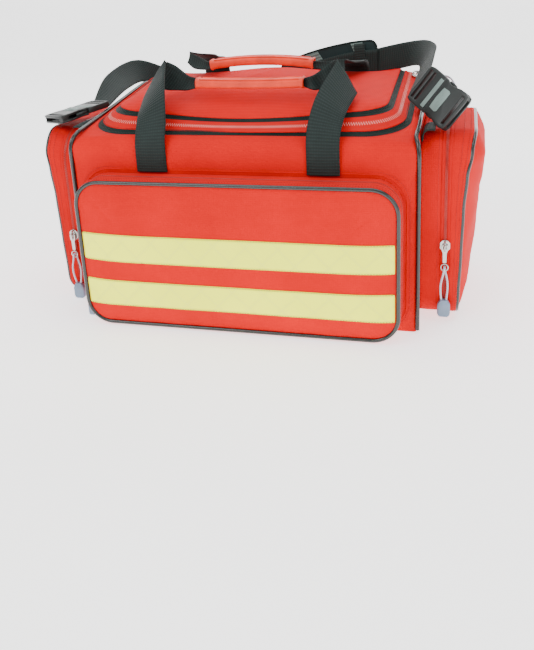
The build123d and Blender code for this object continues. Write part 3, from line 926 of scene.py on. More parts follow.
def build_pocket(pocket, flap, depths, bulge, pressure, cap, seed):
    """Gusset, zip, padded cover, piping and hinge cloth of one pocket."""
    name = pocket.name
    gusset_end, chain_place, cover_start, edge = depths
    steps = 8
    gusset_depths = [0.2 + (gusset_end - 0.2) * k / steps for k in range(steps + 1)]
    swell = [-0.45 * math.sin(math.pi * k / steps) for k in range(steps + 1)]
    gusset = pocket.wall(name + "_gusset_cloth", gusset_depths, "red_nylon", 1.8, swell)
    body_tape = pocket.wall(name + "_zip_tape_body", [gusset_end - 2.4, gusset_end, chain_place - 0.5],
                            "zip_tape", 0.9, [-0.15, 0.0, 0.4], True)
    flap_tape = pocket.wall(name + "_zip_tape_flap", [chain_place + 0.5, cover_start, cover_start + 2.4],
                            "zip_tape", 0.9, [0.4, 0.0, -0.15], True)
    line, normals = pocket.chain(chain_place - 0.9, -0.5)
    body_teeth = teeth(name + "_teeth_body", line, normals, 2.4, (2.2, 1.3, 1.1), 0.0, "coil_red")
    line, normals = pocket.chain(chain_place + 0.9, -0.5)
    flap_teeth = teeth(name + "_teeth_flap", line, normals, 2.4, (2.2, 1.3, 1.1), 1.2, "coil_red")
    line, normals = pocket.chain(gusset_end - 5.4, 0.3)
    seam_body = stitches(name + "_seam_body", line, normals)
    gusset = joined(name + "_gusset_cloth", [gusset, seam_body])
    body_tape = joined(name + "_zip_tape_body", [body_tape, body_teeth])
    flap_tape = joined(name + "_zip_tape_flap", [flap_tape, flap_teeth])

    side = [cover_start + 0.3 + (edge - cover_start - 0.3) * k / 5 for k in range(6)]
    rings = [pocket.ring(d, -0.5 * math.sin(math.pi * k / 5)) for k, d in enumerate(side)]
    reach = min(pocket.half, (pocket.high - pocket.low) / 2)
    tall = pocket.half < (pocket.high - pocket.low) / 2
    insets = [1.2, 3, 6, 10, 15, 21, 28, 36, 45, 54, 63, 72, 80, 87, 95]
    insets = [i for i in insets if i < reach - 5] + [reach - 2.0]
    for inset in insets:
        rise = bulge * math.sin(math.pi / 2 * min(1.0, inset / (0.55 * reach))) ** 0.8
        rings.append(pocket.ring(edge + rise, inset))
    cover = shell(name + "_cover_cloth", rings, "red_nylon", True)
    work = bmesh.new()
    work.from_mesh(cover.data)
    work.verts.ensure_lookup_table()
    count = len(rings[0])
    start = count * (len(rings) - 1)
    half_count = count // 2
    turn = 0 if tall else half_count
    for k in range(half_count):
        first = k if tall else k - half_count // 2
        quad = [first, first + 1, turn - first - 1, turn - first]
        corners = []
        for i in quad:
            if i % count not in corners:
                corners.append(i % count)
        if len(corners) >= 3:
            work.faces.new([work.verts[start + i] for i in corners])
    bmesh.ops.recalc_face_normals(work, faces=work.faces)
    work.to_mesh(cover.data)
    work.free()
    pocket.oriented(cover)
    for vertex in cover.data.vertices:
        local = (vertex.co / MM).dot(pocket.outward) - pocket.base
        if local > edge + 2:
            u = (vertex.co / MM).dot(pocket.across)
            z = vertex.co.z / MM
            crease = math.sin((u * 0.45 + z * 0.9) / 17 + seed) * math.exp(-((u + pocket.half * 0.75) / 60) ** 2) \
                + 0.6 * math.sin((u * 0.3 - z * 0.7) / 23 + 2 * seed)
            vertex.co += pocket.outward * crease * 0.5 * MM
    cover.data.update()

    def pinned(p):
        depth = (p / MM).dot(pocket.outward) - pocket.base
        u, z = abs((p / MM).dot(pocket.across)), p.z / MM
        near = max(u - pocket.half, pocket.low - z, z - pocket.high) > -1.6
        return depth < edge - 1 or near

    billow(cover, pinned, pressure, 14, cap, seed)
    pocket.oriented(cover)
    thicken(cover, 2.2 * MM, lined=True)
    tree = surface_of(cover)

    parts = [cover]
    for depth in (edge - 2.6, edge - 8.5):
        if depth > cover_start + 1:
            whole = pocket.ring(depth, 0.0)
            outer = pocket.ring(depth, -1.0)
            normals = [(b - a).normalized() for a, b in zip(whole, outer)]
            line = [a + n * 0.75 * MM for a, n in zip(whole, normals)]
            parts.append(stitches(name + "_stitch", line + line[:1], normals + normals[:1]))
    cover = joined(name + "_cover_cloth", parts)
    piping = tube(name + "_edge_piping", evenly(pocket.ring(edge + 1.6, 2.3), 4 * MM, True), 2.6 * MM, "piping",
                  closed=True, sides=14)

    hinge_rings = []
    for k in range(7):
        depth = gusset_end - 1.5 + (cover_start - gusset_end + 3.0) * k / 6
        sag = -0.9 * math.sin(math.pi * k / 6)
        line = pocket.ring(depth, sag)
        count = len(line)
        hinge_rings.append(line[count - 19:] + line[:20])
    hinge = shell(name + "_hinge_fold", hinge_rings, "red_nylon")
    pocket.oriented(hinge)
    thicken(hinge, 1.6 * MM)

    settle(gusset, "red_nylon", "root", name + "_gusset")
    settle(body_tape, "zip_tape", "root", name + "_zip_body_side")
    settle(flap_tape, "zip_tape", flap, name + "_zip_cover_side")
    settle(cover, "red_nylon", flap, name + "_cover")
    settle(piping, "piping", flap, name + "_piping")
    pocket.place(0, gusset_end, 6)
    pocket.place(0, cover_start, 6)
    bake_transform(hinge)
    return tree


FRONT_POCKET = Pocket("front_pocket", 203, 2.9, 197.5, 34, Vector((0, -1, 0)), Vector((1, 0, 0)), 140)
RIGHT_POCKET = Pocket("right_pocket", 106, 6, 240, 46, Vector((1, 0, 0)), Vector((0, 1, 0)), 220, True)
LEFT_POCKET = Pocket("left_pocket", 106, 6, 240, 46, Vector((-1, 0, 0)), Vector((0, -1, 0)), 220, True)


def build_band(tree, low, high, name):
    """Reflective tape laid on the bulged cover, its ends sewn under the piping."""
    vertices = []
    columns = 100
    rows = 9
    for i in range(rows):
        z = low + (high - low) * i / (rows - 1)
        for j in range(columns):
            u = -197.5 + 395 * j / (columns - 1)
            found = laid(tree, mm(u, -260, z), Vector((0, 1, 0)), 0.5 * MM)
            vertices.append(found[0] if found else mm(u, -173.4, z))
    obj = new_object(name, vertices, grid_faces(rows, columns), "reflective_tape")
    face_along(obj, lambda face: Vector((0, -1, 0)))
    smooth = obj.modifiers.new("smooth", "SMOOTH")
    smooth.iterations = 3
    thicken(obj, 0.7 * MM, 0.6)
    parts = [obj]
    for z in (low + 1.8, high - 1.8):
        line, normals = [], []
        for j in range(260):
            found = laid(tree, mm(-196 + 392 * j / 259, -260, z), Vector((0, 1, 0)), 1.15 * MM)
            if found:
                line.append(found[0])
                normals.append(found[1])
        parts.append(stitches(name + "_stitch", line, normals, "pad_band"))
    return joined(name, parts)


# ---------------------------------------------------------------- handles
def stitched_box(name, corners, lift, normal_hint):
    """Sewn rectangle with a cross, over four corner points in order."""
    parts = []
    normal = (corners[1] - corners[0]).cross(corners[3] - corners[0]).normalized()
    if normal.dot(normal_hint) < 0:
        normal = -normal
    centre = sum(corners, Vector()) / 4
    inner = [c.lerp(centre, 0.16) + normal * lift * MM for c in corners]
    loops = [inner + inner[:1], [inner[0], inner[2]], [inner[1], inner[3]]]
    for index, loop in enumerate(loops):
        line = [a.lerp(b, k / 30) for a, b in zip(loop, loop[1:]) for k in range(30)] + [loop[-1]]
        parts.append(stitches(name + "_x", line, [normal] * len(line), "stitch_dark", 3.0, 2.1, 0.6, 0.4))
    return joined(name + "_x", parts)


def mirrored(points, sign):
    return [mm(x * sign, y, z) for x, y, z in points]


FRONT_LEFT_EDGE = [(89, -142.7, 200), (89, -142.9, 214), (89, -143, 228), (89, -141, 244), (90, -131, 262),
                   (95.5, -114, 286), (103.5, -90, 304), (110.5, -67, 317), (114, -56, 325)]
FRONT_RIGHT_EDGE = [(129, -142.7, 200), (129, -142.9, 214), (129, -143, 228), (129, -140, 242), (130, -131, 255),
                    (132, -118, 266), (134.5, -101, 274), (138, -83, 280.5), (140, -70, 284.5)]
FRONT_FOLD_TOP = [(112.5, -52.5, 324.5), (103, -47, 319), (93, -49, 312), (84, -54, 306),
                  (76, -54, 303.5), (68, -55, 301)]
FRONT_FOLD_LOW = [(139, -66, 284), (126, -57, 289), (110, -60, 288), (96, -55, 287.5),
                  (84, -60, 288.5), (68, -56, 292)]
FRONT_CREASE = [(113, -54.4, 325), (120, -58, 314.5), (127, -61.5, 304), (133.5, -65, 294), (139.6, -68, 284.4)]


def build_front_webs():
    parts = []
    for sign in (1, -1):
        left = [(x, y, z + (0 if sign > 0 else 0.02 * (z - 200))) for x, y, z in FRONT_LEFT_EDGE]
        outer = strip("web", mirrored(left, sign), mirrored(FRONT_RIGHT_EDGE, sign), 1.7 * MM, "webbing", 10,
                      2.5 * MM, 0.9 * MM * sign)
        top = [(x, y + 1.4 * sign * math.sin(x / 7), z) for x, y, z in FRONT_FOLD_TOP]
        under = [(x, y + 2.4 * math.sin(x / 5 + sign), z) for x, y, z in FRONT_FOLD_LOW]
        fold = strip("web", mirrored(top, sign), mirrored(under, sign), 1.7 * MM, "webbing", 10, 2.0 * MM,
                     2.2 * MM * sign)
        crease = tube("web", mirrored(FRONT_CREASE, sign), 1.35 * MM, "webbing", sides=8)
        sewn = stitched_box("web", [mm(89.5 * sign, -143.6, 203), mm(128.5 * sign, -143.6, 203),
                                    mm(128.5 * sign, -143.6, 230), mm(89.5 * sign, -143.6, 230)], 0.4,
                            Vector((0, -1, 0)))
        parts += [outer, fold, crease, sewn]
    obj = joined("front_handle_web", parts)
    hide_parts("front_handle_webbing", "front_handle_anchors")
    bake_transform(obj)


REAR_CENTRE = [(109, 142.8, 142), (109, 142.9, 170), (109, 143, 200), (109, 143.2, 235), (109, 145.5, 256),
               (109, 147.5, 272), (109, 146.5, 287), (109, 140, 298), (108.5, 125, 305.5), (107, 92, 311),
               (101, 60, 318), (97, 38, 322)]
REAR_FOLD = [((110, 30, 325), (112, 22, 313)), ((100, 26, 322.5), (103, 18, 306)), ((90, 22, 318), (94, 14, 304.5)),
             ((80, 15, 315), (84, 12, 304)), ((70, 12, 313.5), (70, 9, 305))]


def build_rear_webs():
    parts = []
    for sign in (1, -1):
        widths = [20] * 9 + [19.5, 18, 14]
        settle = [0] * 6 + ([3, 6, 8, 10, 13, 14] if sign > 0 else [0] * 6)
        centres = [(x, y, z - fall) for (x, y, z), fall in zip(REAR_CENTRE, settle)]
        left = [(x - w, y, z) for (x, y, z), w in zip(centres, widths)]
        right = [(x + w, y, z) for (x, y, z), w in zip(centres, widths)]
        left[-1] = (86, 30, 323 - settle[-1])
        right[-1] = (112, 34, 326 - settle[-1])
        outer = strip("web", mirrored(left, sign), mirrored(right, sign), 1.7 * MM, "webbing", 10, 3 * MM,
                      0.8 * MM * sign)
        low = [12, 9, 6, 2, 0] if sign > 0 else [0] * 5
        upper = [(a[0], a[1], a[2] - fall) for (a, _), fall in zip(REAR_FOLD, low)]
        under = [(b[0], b[1], b[2] - fall) for (_, b), fall in zip(REAR_FOLD, low)]
        fold = strip("web", mirrored(upper, sign), mirrored(under, sign),
                     1.7 * MM, "webbing", 10, 2 * MM, 1.8 * MM * sign)
        parts += [outer, fold]
        for low in (146, 222):
            parts.append(stitched_box("web", [mm(89.5 * sign, 143.7, low), mm(128.5 * sign, 143.7, low),
                                              mm(128.5 * sign, 143.7, low + 30), mm(89.5 * sign, 143.7, low + 30)],
                                      0.4, Vector((0, 1, 0))))
    obj = joined("rear_handle_web", parts)
    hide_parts("rear_handle_webbing", "rear_handle_anchors")
    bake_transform(obj)


def superellipse(width, height, count=40, power=3.4):
    out = []
    for k in range(count):
        angle = 2 * math.pi * k / count
        c, s = math.cos(angle), math.sin(angle)
        out.append((width / 2 * math.copysign(abs(c) ** (2 / power), c),
                    height / 2 * math.copysign(abs(s) ** (2 / power), s)))
    return out


def build_grip(name, node, body, place_y, place_z, rise):
    """Moulded grip: flattened tube with rolled end lips, a slit underneath and shallow finger ribs."""
    stations = [-72, -71.4, -70.2, -68.4, -67.4] + [-64 + 4 * k for k in range(33)] + [67.4, 68.4, 70.2, 71.4, 72]
    vertices = []
    count = 40
    for x in stations:
        arch = rise * (1 - (x / 72) ** 2)
        edge = abs(abs(x) - 70.4)
        lip = 1.3 * math.exp(-(edge / 1.5) ** 2)
        closing = -1.2 if abs(x) > 71.9 else 0
        rib = 0.25 * math.cos(x / 2.0 * math.pi) if abs(x) < 50 else 0
        tilt = math.atan2(-2 * rise * x / 72 ** 2, 1)
        for y, z in superellipse(20 + 2 * lip + 2 * closing, 12.6 + 2 * lip + 2 * closing, count):
            under = z < -4 and abs(y) < 8
            groove = 0.9 * math.exp(-(y / 1.1) ** 2) if z < 0 else 0
            z += groove + (rib if under else 0)
            vertices.append(mm(x - z * math.sin(tilt), place_y + y, place_z + arch + z * math.cos(tilt)))
    faces = grid_faces(len(stations), count, closed_columns=True)
    for first in (0, (len(stations) - 1) * count):
        ring_start = len(vertices)
        x = stations[0] if first == 0 else stations[-1]
        inward = 1 if first == 0 else -1
        for depth, shrink in ((0, 0.80), (5, 0.76), (5.2, 0.2)):
            for y, z in superellipse(17.6 * shrink / 0.8, 10.2 * shrink / 0.8, count):
                inner_x = x + inward * depth
                vertices.append(mm(inner_x, place_y + y, place_z + z + rise * (1 - (inner_x / 72) ** 2)))
        for j in range(count):
            faces.append((first + j, first + (j + 1) % count, ring_start + (j + 1) % count, ring_start + j))
        for level in range(2):
            a = ring_start + level * count
            for j in range(count):
                faces.append((a + j, a + (j + 1) % count, a + count + (j + 1) % count, a + count + j))
        faces.append(tuple(range(ring_start + 2 * count, ring_start + 3 * count)))
    obj = new_object(name, vertices, faces, "grip_plastic")
    fix_normals(obj)
    lines = []
    for offset in (-8.3, 8.3):
        line = [mm(x, place_y + offset, place_z + rise * (1 - (x / 72) ** 2) + 6.0) for x in range(-66, 67, 3)]
        lines.append(tube(name + "_rib", line, 0.75 * MM, "grip_plastic", sides=8))
    obj = joined(name, [obj] + lines)
    settle(obj, "grip_plastic", body, node)


# ---------------------------------------------------------------- shoulder strap
def edges_of(stations, width):
    left, right = [], []
    for centre, across in stations:
        direction = Vector(across).normalized() * width / 2
        left.append((Vector(centre) - direction) * MM)
        right.append((Vector(centre) + direction) * MM)
    return left, right


RIGHT_WEB = [((214, -30, 292), (.65, .05, .76)), ((217, 35, 301), (.6, 0, .8)), ((217, 98, 306), (.55, 0, .84)),
             ((204, 142, 305), (.35, .15, .93)), ((176, 174, 297), (.1, .15, .98)), ((136, 188, 287), (0, .1, 1))]
LEFT_WEB = [((-8, 187, 252), (.25, .1, .96)), ((-62, 188, 236), (.1, .1, 1)), ((-130, 186, 236), (-.1, .1, 1)),
            ((-192, 174, 260), (-.2, .1, .97)), ((-233, 138, 284), (-.4, -.1, .9)), ((-240, 60, 280), (-.86, 0, .5)),
            ((-233, -14, 262), (-.84, .53, .1))]
PAD_LINE = [((137, 191.2, 286), (0, 0, 1)), ((95, 192, 282), (.05, 0, 1)), ((42, 192, 270), (.15, 0, 1)),
            ((-8, 191.2, 252), (.25, 0, .97))]


def build_strap():
    parts = []
    for name, stations in (("right", RIGHT_WEB), ("left", LEFT_WEB)):
        left, right = edges_of(stations, 38.5)
        parts.append(strip("strap_web", left, right, 1.7 * MM, "webbing", 10, 3 * MM, 0.7 * MM))
    left, right = edges_of(PAD_LINE, 38.5)
    left = [p + Vector((0, -0.0062, 0)) for p in left]
    right = [p + Vector((0, -0.0062, 0)) for p in right]
    parts.append(strip("strap_web", left, right, 1.7 * MM, "webbing", 8, 3 * MM, 0.3 * MM))
    settle(joined("strap_web", parts), "webbing", "strap", "shoulder_strap_webbing")


PAD_POINTS = catmull([mm(*c) for c, _ in PAD_LINE], 100)
PAD_ACROSS = catmull([Vector(a).normalized() for _, a in PAD_LINE], 100)


def pad_frame(s):
    """Centre, width direction and thickness direction of the shoulder pad at s from 0 to 1."""
    place = s * 100
    index = min(99, int(place))
    centre = PAD_POINTS[index].lerp(PAD_POINTS[index + 1], place - index)
    along = (PAD_POINTS[min(100, index + 2)] - PAD_POINTS[max(0, index - 1)]).normalized()
    across = PAD_ACROSS[index]
    across = (across - along * across.dot(along)).normalized()
    return centre, across, along.cross(across).normalized()


def pad_half(s):
    """Half the pad's width at s, in mm: full over the middle and rounded in at the ends."""
    end = min(1.0, (0.055 + min(s, 1 - s)) / 0.17)
    return 33 * math.sqrt(max(0.0, 1 - (1 - end) ** 2))


def build_pad():
    """Padded shoulder piece: two crowned cloth faces sewn at the edge, tapered ends, quilted across."""
    rows, columns = 64, 30
    vertices = []
    faces = []
    for side in (1, -1):
        for i in range(rows + 1):
            s = i / rows
            centre, across, out = pad_frame(s)
            half = pad_half(s)
            for j in range(columns + 1):
                t = -1 + 2 * j / columns
                crown = (1 - abs(t) ** 2.6) * min(1.0, min(s, 1 - s) / 0.06 + 0.05)
                quilt = 0.55 * math.exp(-((s - 0.33) / 0.012) ** 2) + 0.55 * math.exp(-((s - 0.67) / 0.012) ** 2)
                thick = (3.6 * crown - quilt * crown * 3.0 + 0.3)
                vertices.append(centre + across * t * half * MM + out * side * thick * MM)
    width = columns + 1
    size = (rows + 1) * width
    for part in (0, 1):
        for i in range(rows):
            for j in range(columns):
                a = part * size + i * width + j
                quad = (a, a + 1, a + width + 1, a + width)
                faces.append(quad if part else quad[::-1])
    border = [j for j in range(width)] + [i * width + columns for i in range(1, rows + 1)]
    border += [rows * width + j for j in range(columns - 1, -1, -1)] + [i * width for i in range(rows - 1, 0, -1)]
    for a, b in zip(border, border[1:] + border[:1]):
        faces.append((a, b, b + size, a + size))
    obj = new_object("shoulder_pad_cloth", vertices, faces, "strap_pad")
    fix_normals(obj)

    def pinned(p):
        best = min(range(0, 101, 4), key=lambda k: (pad_frame(k / 100)[0] - p).length)
        centre, across, _ = pad_frame(best / 100)
        quilted = abs(best - 33) < 3 or abs(best - 67) < 3
        return abs((p - centre).dot(across)) > 0.029 or best < 6 or best > 94 or quilted

    billow(obj, pinned, 1.6, 10, 1.2, 5.0)
    level = obj.modifiers.new("smooth", "SUBSURF")
    level.levels = level.render_levels = 1
    apply_all(obj)
    tree = surface_of(obj)
    parts = [obj]
    rolled = []
    for sign, steps in ((1, range(140)), (-1, range(139, -1, -1))):
        for k in steps:
            centre, across, _ = pad_frame(k / 139)
            rolled.append(centre + across * sign * pad_half(k / 139) * MM)
    parts.append(tube("edge", evenly(rolled, 3 * MM, True), 1.5 * MM, "binding_tape", closed=True, sides=8))
    for s0 in (0.06, 0.48):
        lower, upper = [], []
        for k in range(13):
            v = -1 + 2 * k / 12
            row = []
            for edge in (0.0, 0.115):
                s = s0 + edge + 0.13 * (v + 1) / 2
                centre, across, out = pad_frame(s)
                found = laid(tree, centre + across * v * 31.5 * MM - out * 0.03, out, 0.5 * MM)
                if not found:
                    found = (centre + across * v * 31.5 * MM - out * 0.0042, None)
                row.append(found[0])
            lower.append(row[0])
            upper.append(row[1])
        parts.append(strip("band", lower, upper, 0.9 * MM, "pad_band", 10, 3 * MM))
    obj = joined("shoulder_pad_cloth", parts)
    settle(obj, "strap_pad", "strap", "shoulder_pad")

    parts = []
    for centre in ((112, 186, 283), (20, 186, 262)):
        nearest = min(range(101), key=lambda k: (pad_frame(k / 100)[0] - mm(*centre)).length)
        middle, across, out = pad_frame(nearest / 100)
        along = across.cross(out).normalized()
        if out.y > 0:
            out = -out
        base = middle + out * 7.3 * MM
        left, right = [], []
        for k in range(13):
            v = -1 + 2 * k / 12
            drop = 3.4 * abs(v) ** 6
            left.append(base + across * v * 30 * MM - out * drop * MM - along * 8 * MM)
            right.append(base + across * v * 30 * MM - out * drop * MM + along * 8 * MM)
        parts.append(strip("keeper", left, right, 1.5 * MM, "webbing", 6, 3 * MM))
    settle(joined("pad_keeper_loops", parts), "webbing", "strap", "pad_keepers")


def build_strap_anchors():
    """Folded webbing loops that hold the buckles, sewn flat under the top edge of each end panel."""
    parts = []
    for sign in (1, -1):
        base_x, tip_x = 222.6, 236.5
        left, right = [], []
        for x, z in ((base_x - 1.2, 232), (base_x - 0.4, 240), (base_x + 3, 245), (tip_x - 5, 246.4), (tip_x, 246)):
            left.append(mm(x * sign, -98, z))
            right.append(mm(x * sign, -58, z))
        parts.append(strip("anchor", left, right, 1.8 * MM, "webbing", 8, 2 * MM))
    settle(joined("strap_anchor_webs", parts), "webbing", "root", "strap_anchors")


# ---------------------------------------------------------------- buckles
def buckle_matrix(low, high, across):
    low, high = mm(*low), mm(*high)
    along = (high - low).normalized()
    side = Vector(across)
    side = (side - along * side.dot(along)).normalized()
    face = side.cross(along)
    if face.z < 0:
        face = -face
    side = along.cross(face)
    centre = (low + high) / 2
    return Matrix(((side.x, along.x, face.x, centre.x), (side.y, along.y, face.y, centre.y),
                   (side.z, along.z, face.z, centre.z), (0, 0, 0, 1))), (high - low).length / MM


def plate(name, points, low, high, material, matrix, bevel=0.8, holes=()):
    """Moulded plate with rounded edges: outline in the buckle's own mm, with slots cut right through."""
    work = bmesh.new()
    loop = [work.verts.new((x * MM, y * MM, low * MM)) for x, y in points]
    face = work.faces.new(loop)
    raised = bmesh.ops.extrude_face_region(work, geom=[face])
    lifted = [v for v in raised["geom"] if isinstance(v, bmesh.types.BMVert)]
    bmesh.ops.translate(work, vec=(0, 0, (high - low) * MM), verts=lifted)
    bmesh.ops.recalc_face_normals(work, faces=work.faces)
    mesh = bpy.data.meshes.new(name)
    work.to_mesh(mesh)
    work.free()
    mesh.materials.append(MATERIALS[material])
    obj = bpy.data.objects.new(name, mesh)
    bpy.context.collection.objects.link(obj)
    cutters = []
    for cx, cy, wide, long in holes:
        cutter = box("cut", (wide * MM, long * MM, (high - low + 8) * MM), mm(cx, cy, (low + high) / 2), material,
                     Matrix(), 0)
        cutters.append(cutter)
        cut = obj.modifiers.new("cut", "BOOLEAN")
        cut.object = cutter
        cut.solver = "EXACT"
    if holes:
        apply_all(obj)
    for cutter in cutters:
        bpy.data.objects.remove(cutter)
    edge = obj.modifiers.new("edge", "BEVEL")
    edge.width = bevel * MM
    edge.segments = 3
    edge.limit_method = "ANGLE"
    edge.angle_limit = math.radians(40)
    edge.harden_normals = False
    apply_all(obj)
    obj.data.polygons.foreach_set("use_smooth", [True] * len(obj.data.polygons))
    obj.data.set_sharp_from_angle(angle=math.radians(38))
    obj.data.transform(matrix)
    return obj


def symmetric(points):
    return points + [(-x, y) for x, y in reversed(points) if x > 0.001]


def build_buckle(name, low, high, across):
    """Side-release buckle: hollow socket with open sides, plug with prongs and a webbing bar at each end."""
    matrix, length = buckle_matrix(low, high, across)
    half = length / 2
    socket = []
    outer = symmetric([(0.0, -half + 0.6), (18, -half + 0.6), (24, -half + 2.6), (25.6, -half + 8), (25.6, -half + 17),
                       (23.4, -14), (22.0, -8), (22.6, -3), (25.2, 2.2), (24.6, 4), (0.0, 4)])[1:]
    socket.append(plate(name + "_socket_face", outer, 2.1, 5.3, "buckle_plastic", matrix, 0.9,
                        [(0, -half + 7.5, 41, 4.2)]))
    socket.append(plate(name + "_socket_back", outer, -5.3, -2.4, "buckle_plastic", matrix, 0.9,
                        [(0, -half + 7.5, 41, 4.2)]))
    for sign in (-1, 1):
        socket.append(plate(name + "_socket_side", [(19.5 * sign, -half + 1.4), (24.4 * sign, -half + 3.6),
                                                    (24.9 * sign, -half + 13), (19.5 * sign, -half + 13)][::sign],
                            -4.6, 4.6, "buckle_plastic", matrix, 0.7))
        rail = [(6.2 * sign, -half + 15), (8.2 * sign, -half + 15), (8.2 * sign, 3.4), (6.2 * sign, 3.4)]
        socket.append(plate(name + "_socket_rail", rail[::sign], -2.6, 2.4, "buckle_plastic", matrix, 0.3))
    socket.append(plate(name + "_socket_bar", [(-20, -half + 10.2), (20, -half + 10.2), (20, -half + 13.2),
                                               (-20, -half + 13.2)], -2.6, 3.4, "buckle_plastic", matrix, 0.7))
    panel = symmetric([(0.0, -14), (13.5, -14), (15, -11), (14.4, -1.5), (0.0, -0.2)])[1:]
    socket.append(plate(name + "_socket_panel", panel, 5.1, 5.75, "buckle_grey", matrix, 0.3))
    for y in (-12, -9.4, -6.8):
        socket.append(plate(name + "_socket_ridge", [(-9, y), (9, y), (9, y + 1.0), (-9, y + 1.0)], 5.6, 6.1,
                            "buckle_grey", matrix, 0.25))
    plug = []
    shoulder = symmetric([(0.0, 4.8), (24.2, 4.8), (25.2, 8), (25.4, 14), (25.6, half - 8), (24, half - 2.4),
                          (18, half - 0.6), (0.0, half - 0.6)])[1:]
    plug.append(plate(name + "_plug_frame", shoulder, -3.8, 4.3, "buckle_plastic", matrix, 1.0,
                      [(0, half - 6.6, 41, 4.0), (0, half - 14.2, 41, 4.0)]))
    plug.append(plate(name + "_plug_panel", symmetric([(0.0, 6.4), (20.5, 6.4), (20.5, 12.4), (0.0, 12.4)])[1:],
                      4.2, 4.8, "buckle_grey", matrix, 0.3))
    for sign in (-1, 1):
        prong = [(16.2, 5.2), (21.8, 5.2), (24.6, 0), (25.4, -5), (25.2, -9.4), (23.4, -13),
                 (21.4, -14.6), (19.9, -13.4), (20.8, -8), (20.2, -3)]
        plug.append(plate(name + "_plug_prong", [(x * sign, y) for x, y in prong][::sign], -1.9, 1.8,
                          "buckle_plastic", matrix, 0.7))
    plug.append(plate(name + "_plug_guide", [(-4.2, 5.2), (-3.2, -15), (3.2, -15), (4.2, 5.2)], -1.7, 1.6,
                      "buckle_plastic", matrix, 0.6))
    socket = joined(name + "_socket_moulding", socket)
    plug = joined(name + "_plug_moulding", plug)
    for obj, node in ((socket, name + "_socket"), (plug, name + "_plug")):
        settle(obj, "buckle_plastic", "strap", node)


# ---------------------------------------------------------------- zip pulls
LONG_LOOP = [(-3, -44, 5.2), (-4.6, -30, 8.6), (-3.6, -17.5, 10.2), (-1, -7.5, 9.9), (0, 0.5, 9.3), (0, 0.5, 2.7),
             (1, -7.5, 2.2), (3.6, -17.5, 2.1), (4.6, -30, 2.8), (3, -44, 5.2)]
SHORT_LOOP = [(-3, -14, 5.2), (-2.4, -7, 9.3), (0, 0.5, 9.2), (0, 0.5, 2.8), (2.4, -7, 2.5), (3, -14, 5.2)]
MAIN_LOOP = [(257.5, 77, 252), (257.5, 84.5, 261), (253.5, 91.5, 270.5), (246.5, 97, 277.5), (236.5, 99.5, 278.6),
             (229.5, 100, 275.7), (227.3, 100, 269.5), (234.6, 99, 266.1), (240.5, 95, 258), (246.5, 87, 252),
             (252.5, 76.5, 249.7)]
TAG_SIZE = (16, 9, 22)


def pull_frame(origin, x_direction, z_direction):
    x, z = Vector(x_direction).normalized(), Vector(z_direction).normalized()
    x = (x - z * x.dot(z)).normalized()
    y = z.cross(x)
    place = mm(*origin)
    return Matrix(((x.x, y.x, z.x, place.x), (x.y, y.y, z.y, place.y), (x.z, y.z, z.z, place.z), (0, 0, 0, 1)))


def cord_curve(name, points, matrix):
    data = bpy.data.curves.new(name, "CURVE")
    data.dimensions = "3D"
    data.bevel_depth = 1.25 * MM
    data.bevel_resolution = 4
    data.use_fill_caps = True
    data.resolution_u = 24
    spline = data.splines.new("NURBS")
    spline.points.add(len(points) - 1)
    for point, place in zip(spline.points, points):
        point.co = (*(matrix @ (Vector(place) * MM)), 1.0)
    spline.order_u = 3
    spline.use_endpoint_u = True
    data.materials.append(MATERIALS["pull_cord"])
    obj = bpy.data.objects.new(name, data)
    bpy.context.collection.objects.link(obj)
    return obj


def build_slider(name, matrix):
    """Metal slider: shield-shaped plates above and below the chain, side rails and an arched bridge."""
    top = symmetric([(0.0, -7.4), (3.2, -7.2), (5.6, -4.6), (6.0, 0), (5.8, 4), (3.6, 6.8), (0.0, 7.4)])[1:]
    parts = [plate(name, top, 0.8, 2.5, "slider_metal", matrix, 0.5)]
    for sign in (-1, 1):
        rail = [(5.2 * sign, -5), (6.2 * sign, -4), (6.2 * sign, 3.6), (5.2 * sign, 4.4)][::sign]
        parts.append(plate(name, rail, 0.0, 2.3, "slider_metal", matrix, 0.25))
    arch = []
    for k in range(15):
        angle = math.pi * k / 14
        arch.append(matrix @ mm(0, -5.9 * math.cos(angle), 2.2 + 6.2 * math.sin(angle) ** 0.6))
    parts.append(tube(name, arch, 1.15 * MM, "slider_metal", sides=10))
    return joined(name, parts)


def build_tab(name, matrix, reach):
    """Pull tab: flat tongue with a slot round the bridge, necking down to the ring that the cord threads."""
    tongue = symmetric([(0.0, 2.6), (3.0, 2.4), (4.0, 0.6), (3.9, -4.5), (2.5, -8.5), (2.3, -reach + 6.4),
                        (0.0, -reach + 5.6)])[1:]
    parts = [plate(name, tongue, 5.25, 6.75, "slider_metal", matrix, 0.4, [(0, -0.7, 3.8, 4.4)])]
    ring_line = []
    for k in range(28):
        angle = 2 * math.pi * k / 28
        ring_line.append(matrix @ mm(4.35 * math.cos(angle), -reach + 4.35 * math.sin(angle), 6.0))
    parts.append(tube(name, ring_line, 0.95 * MM, "slider_metal", closed=True, sides=10))
    return joined(name, parts)


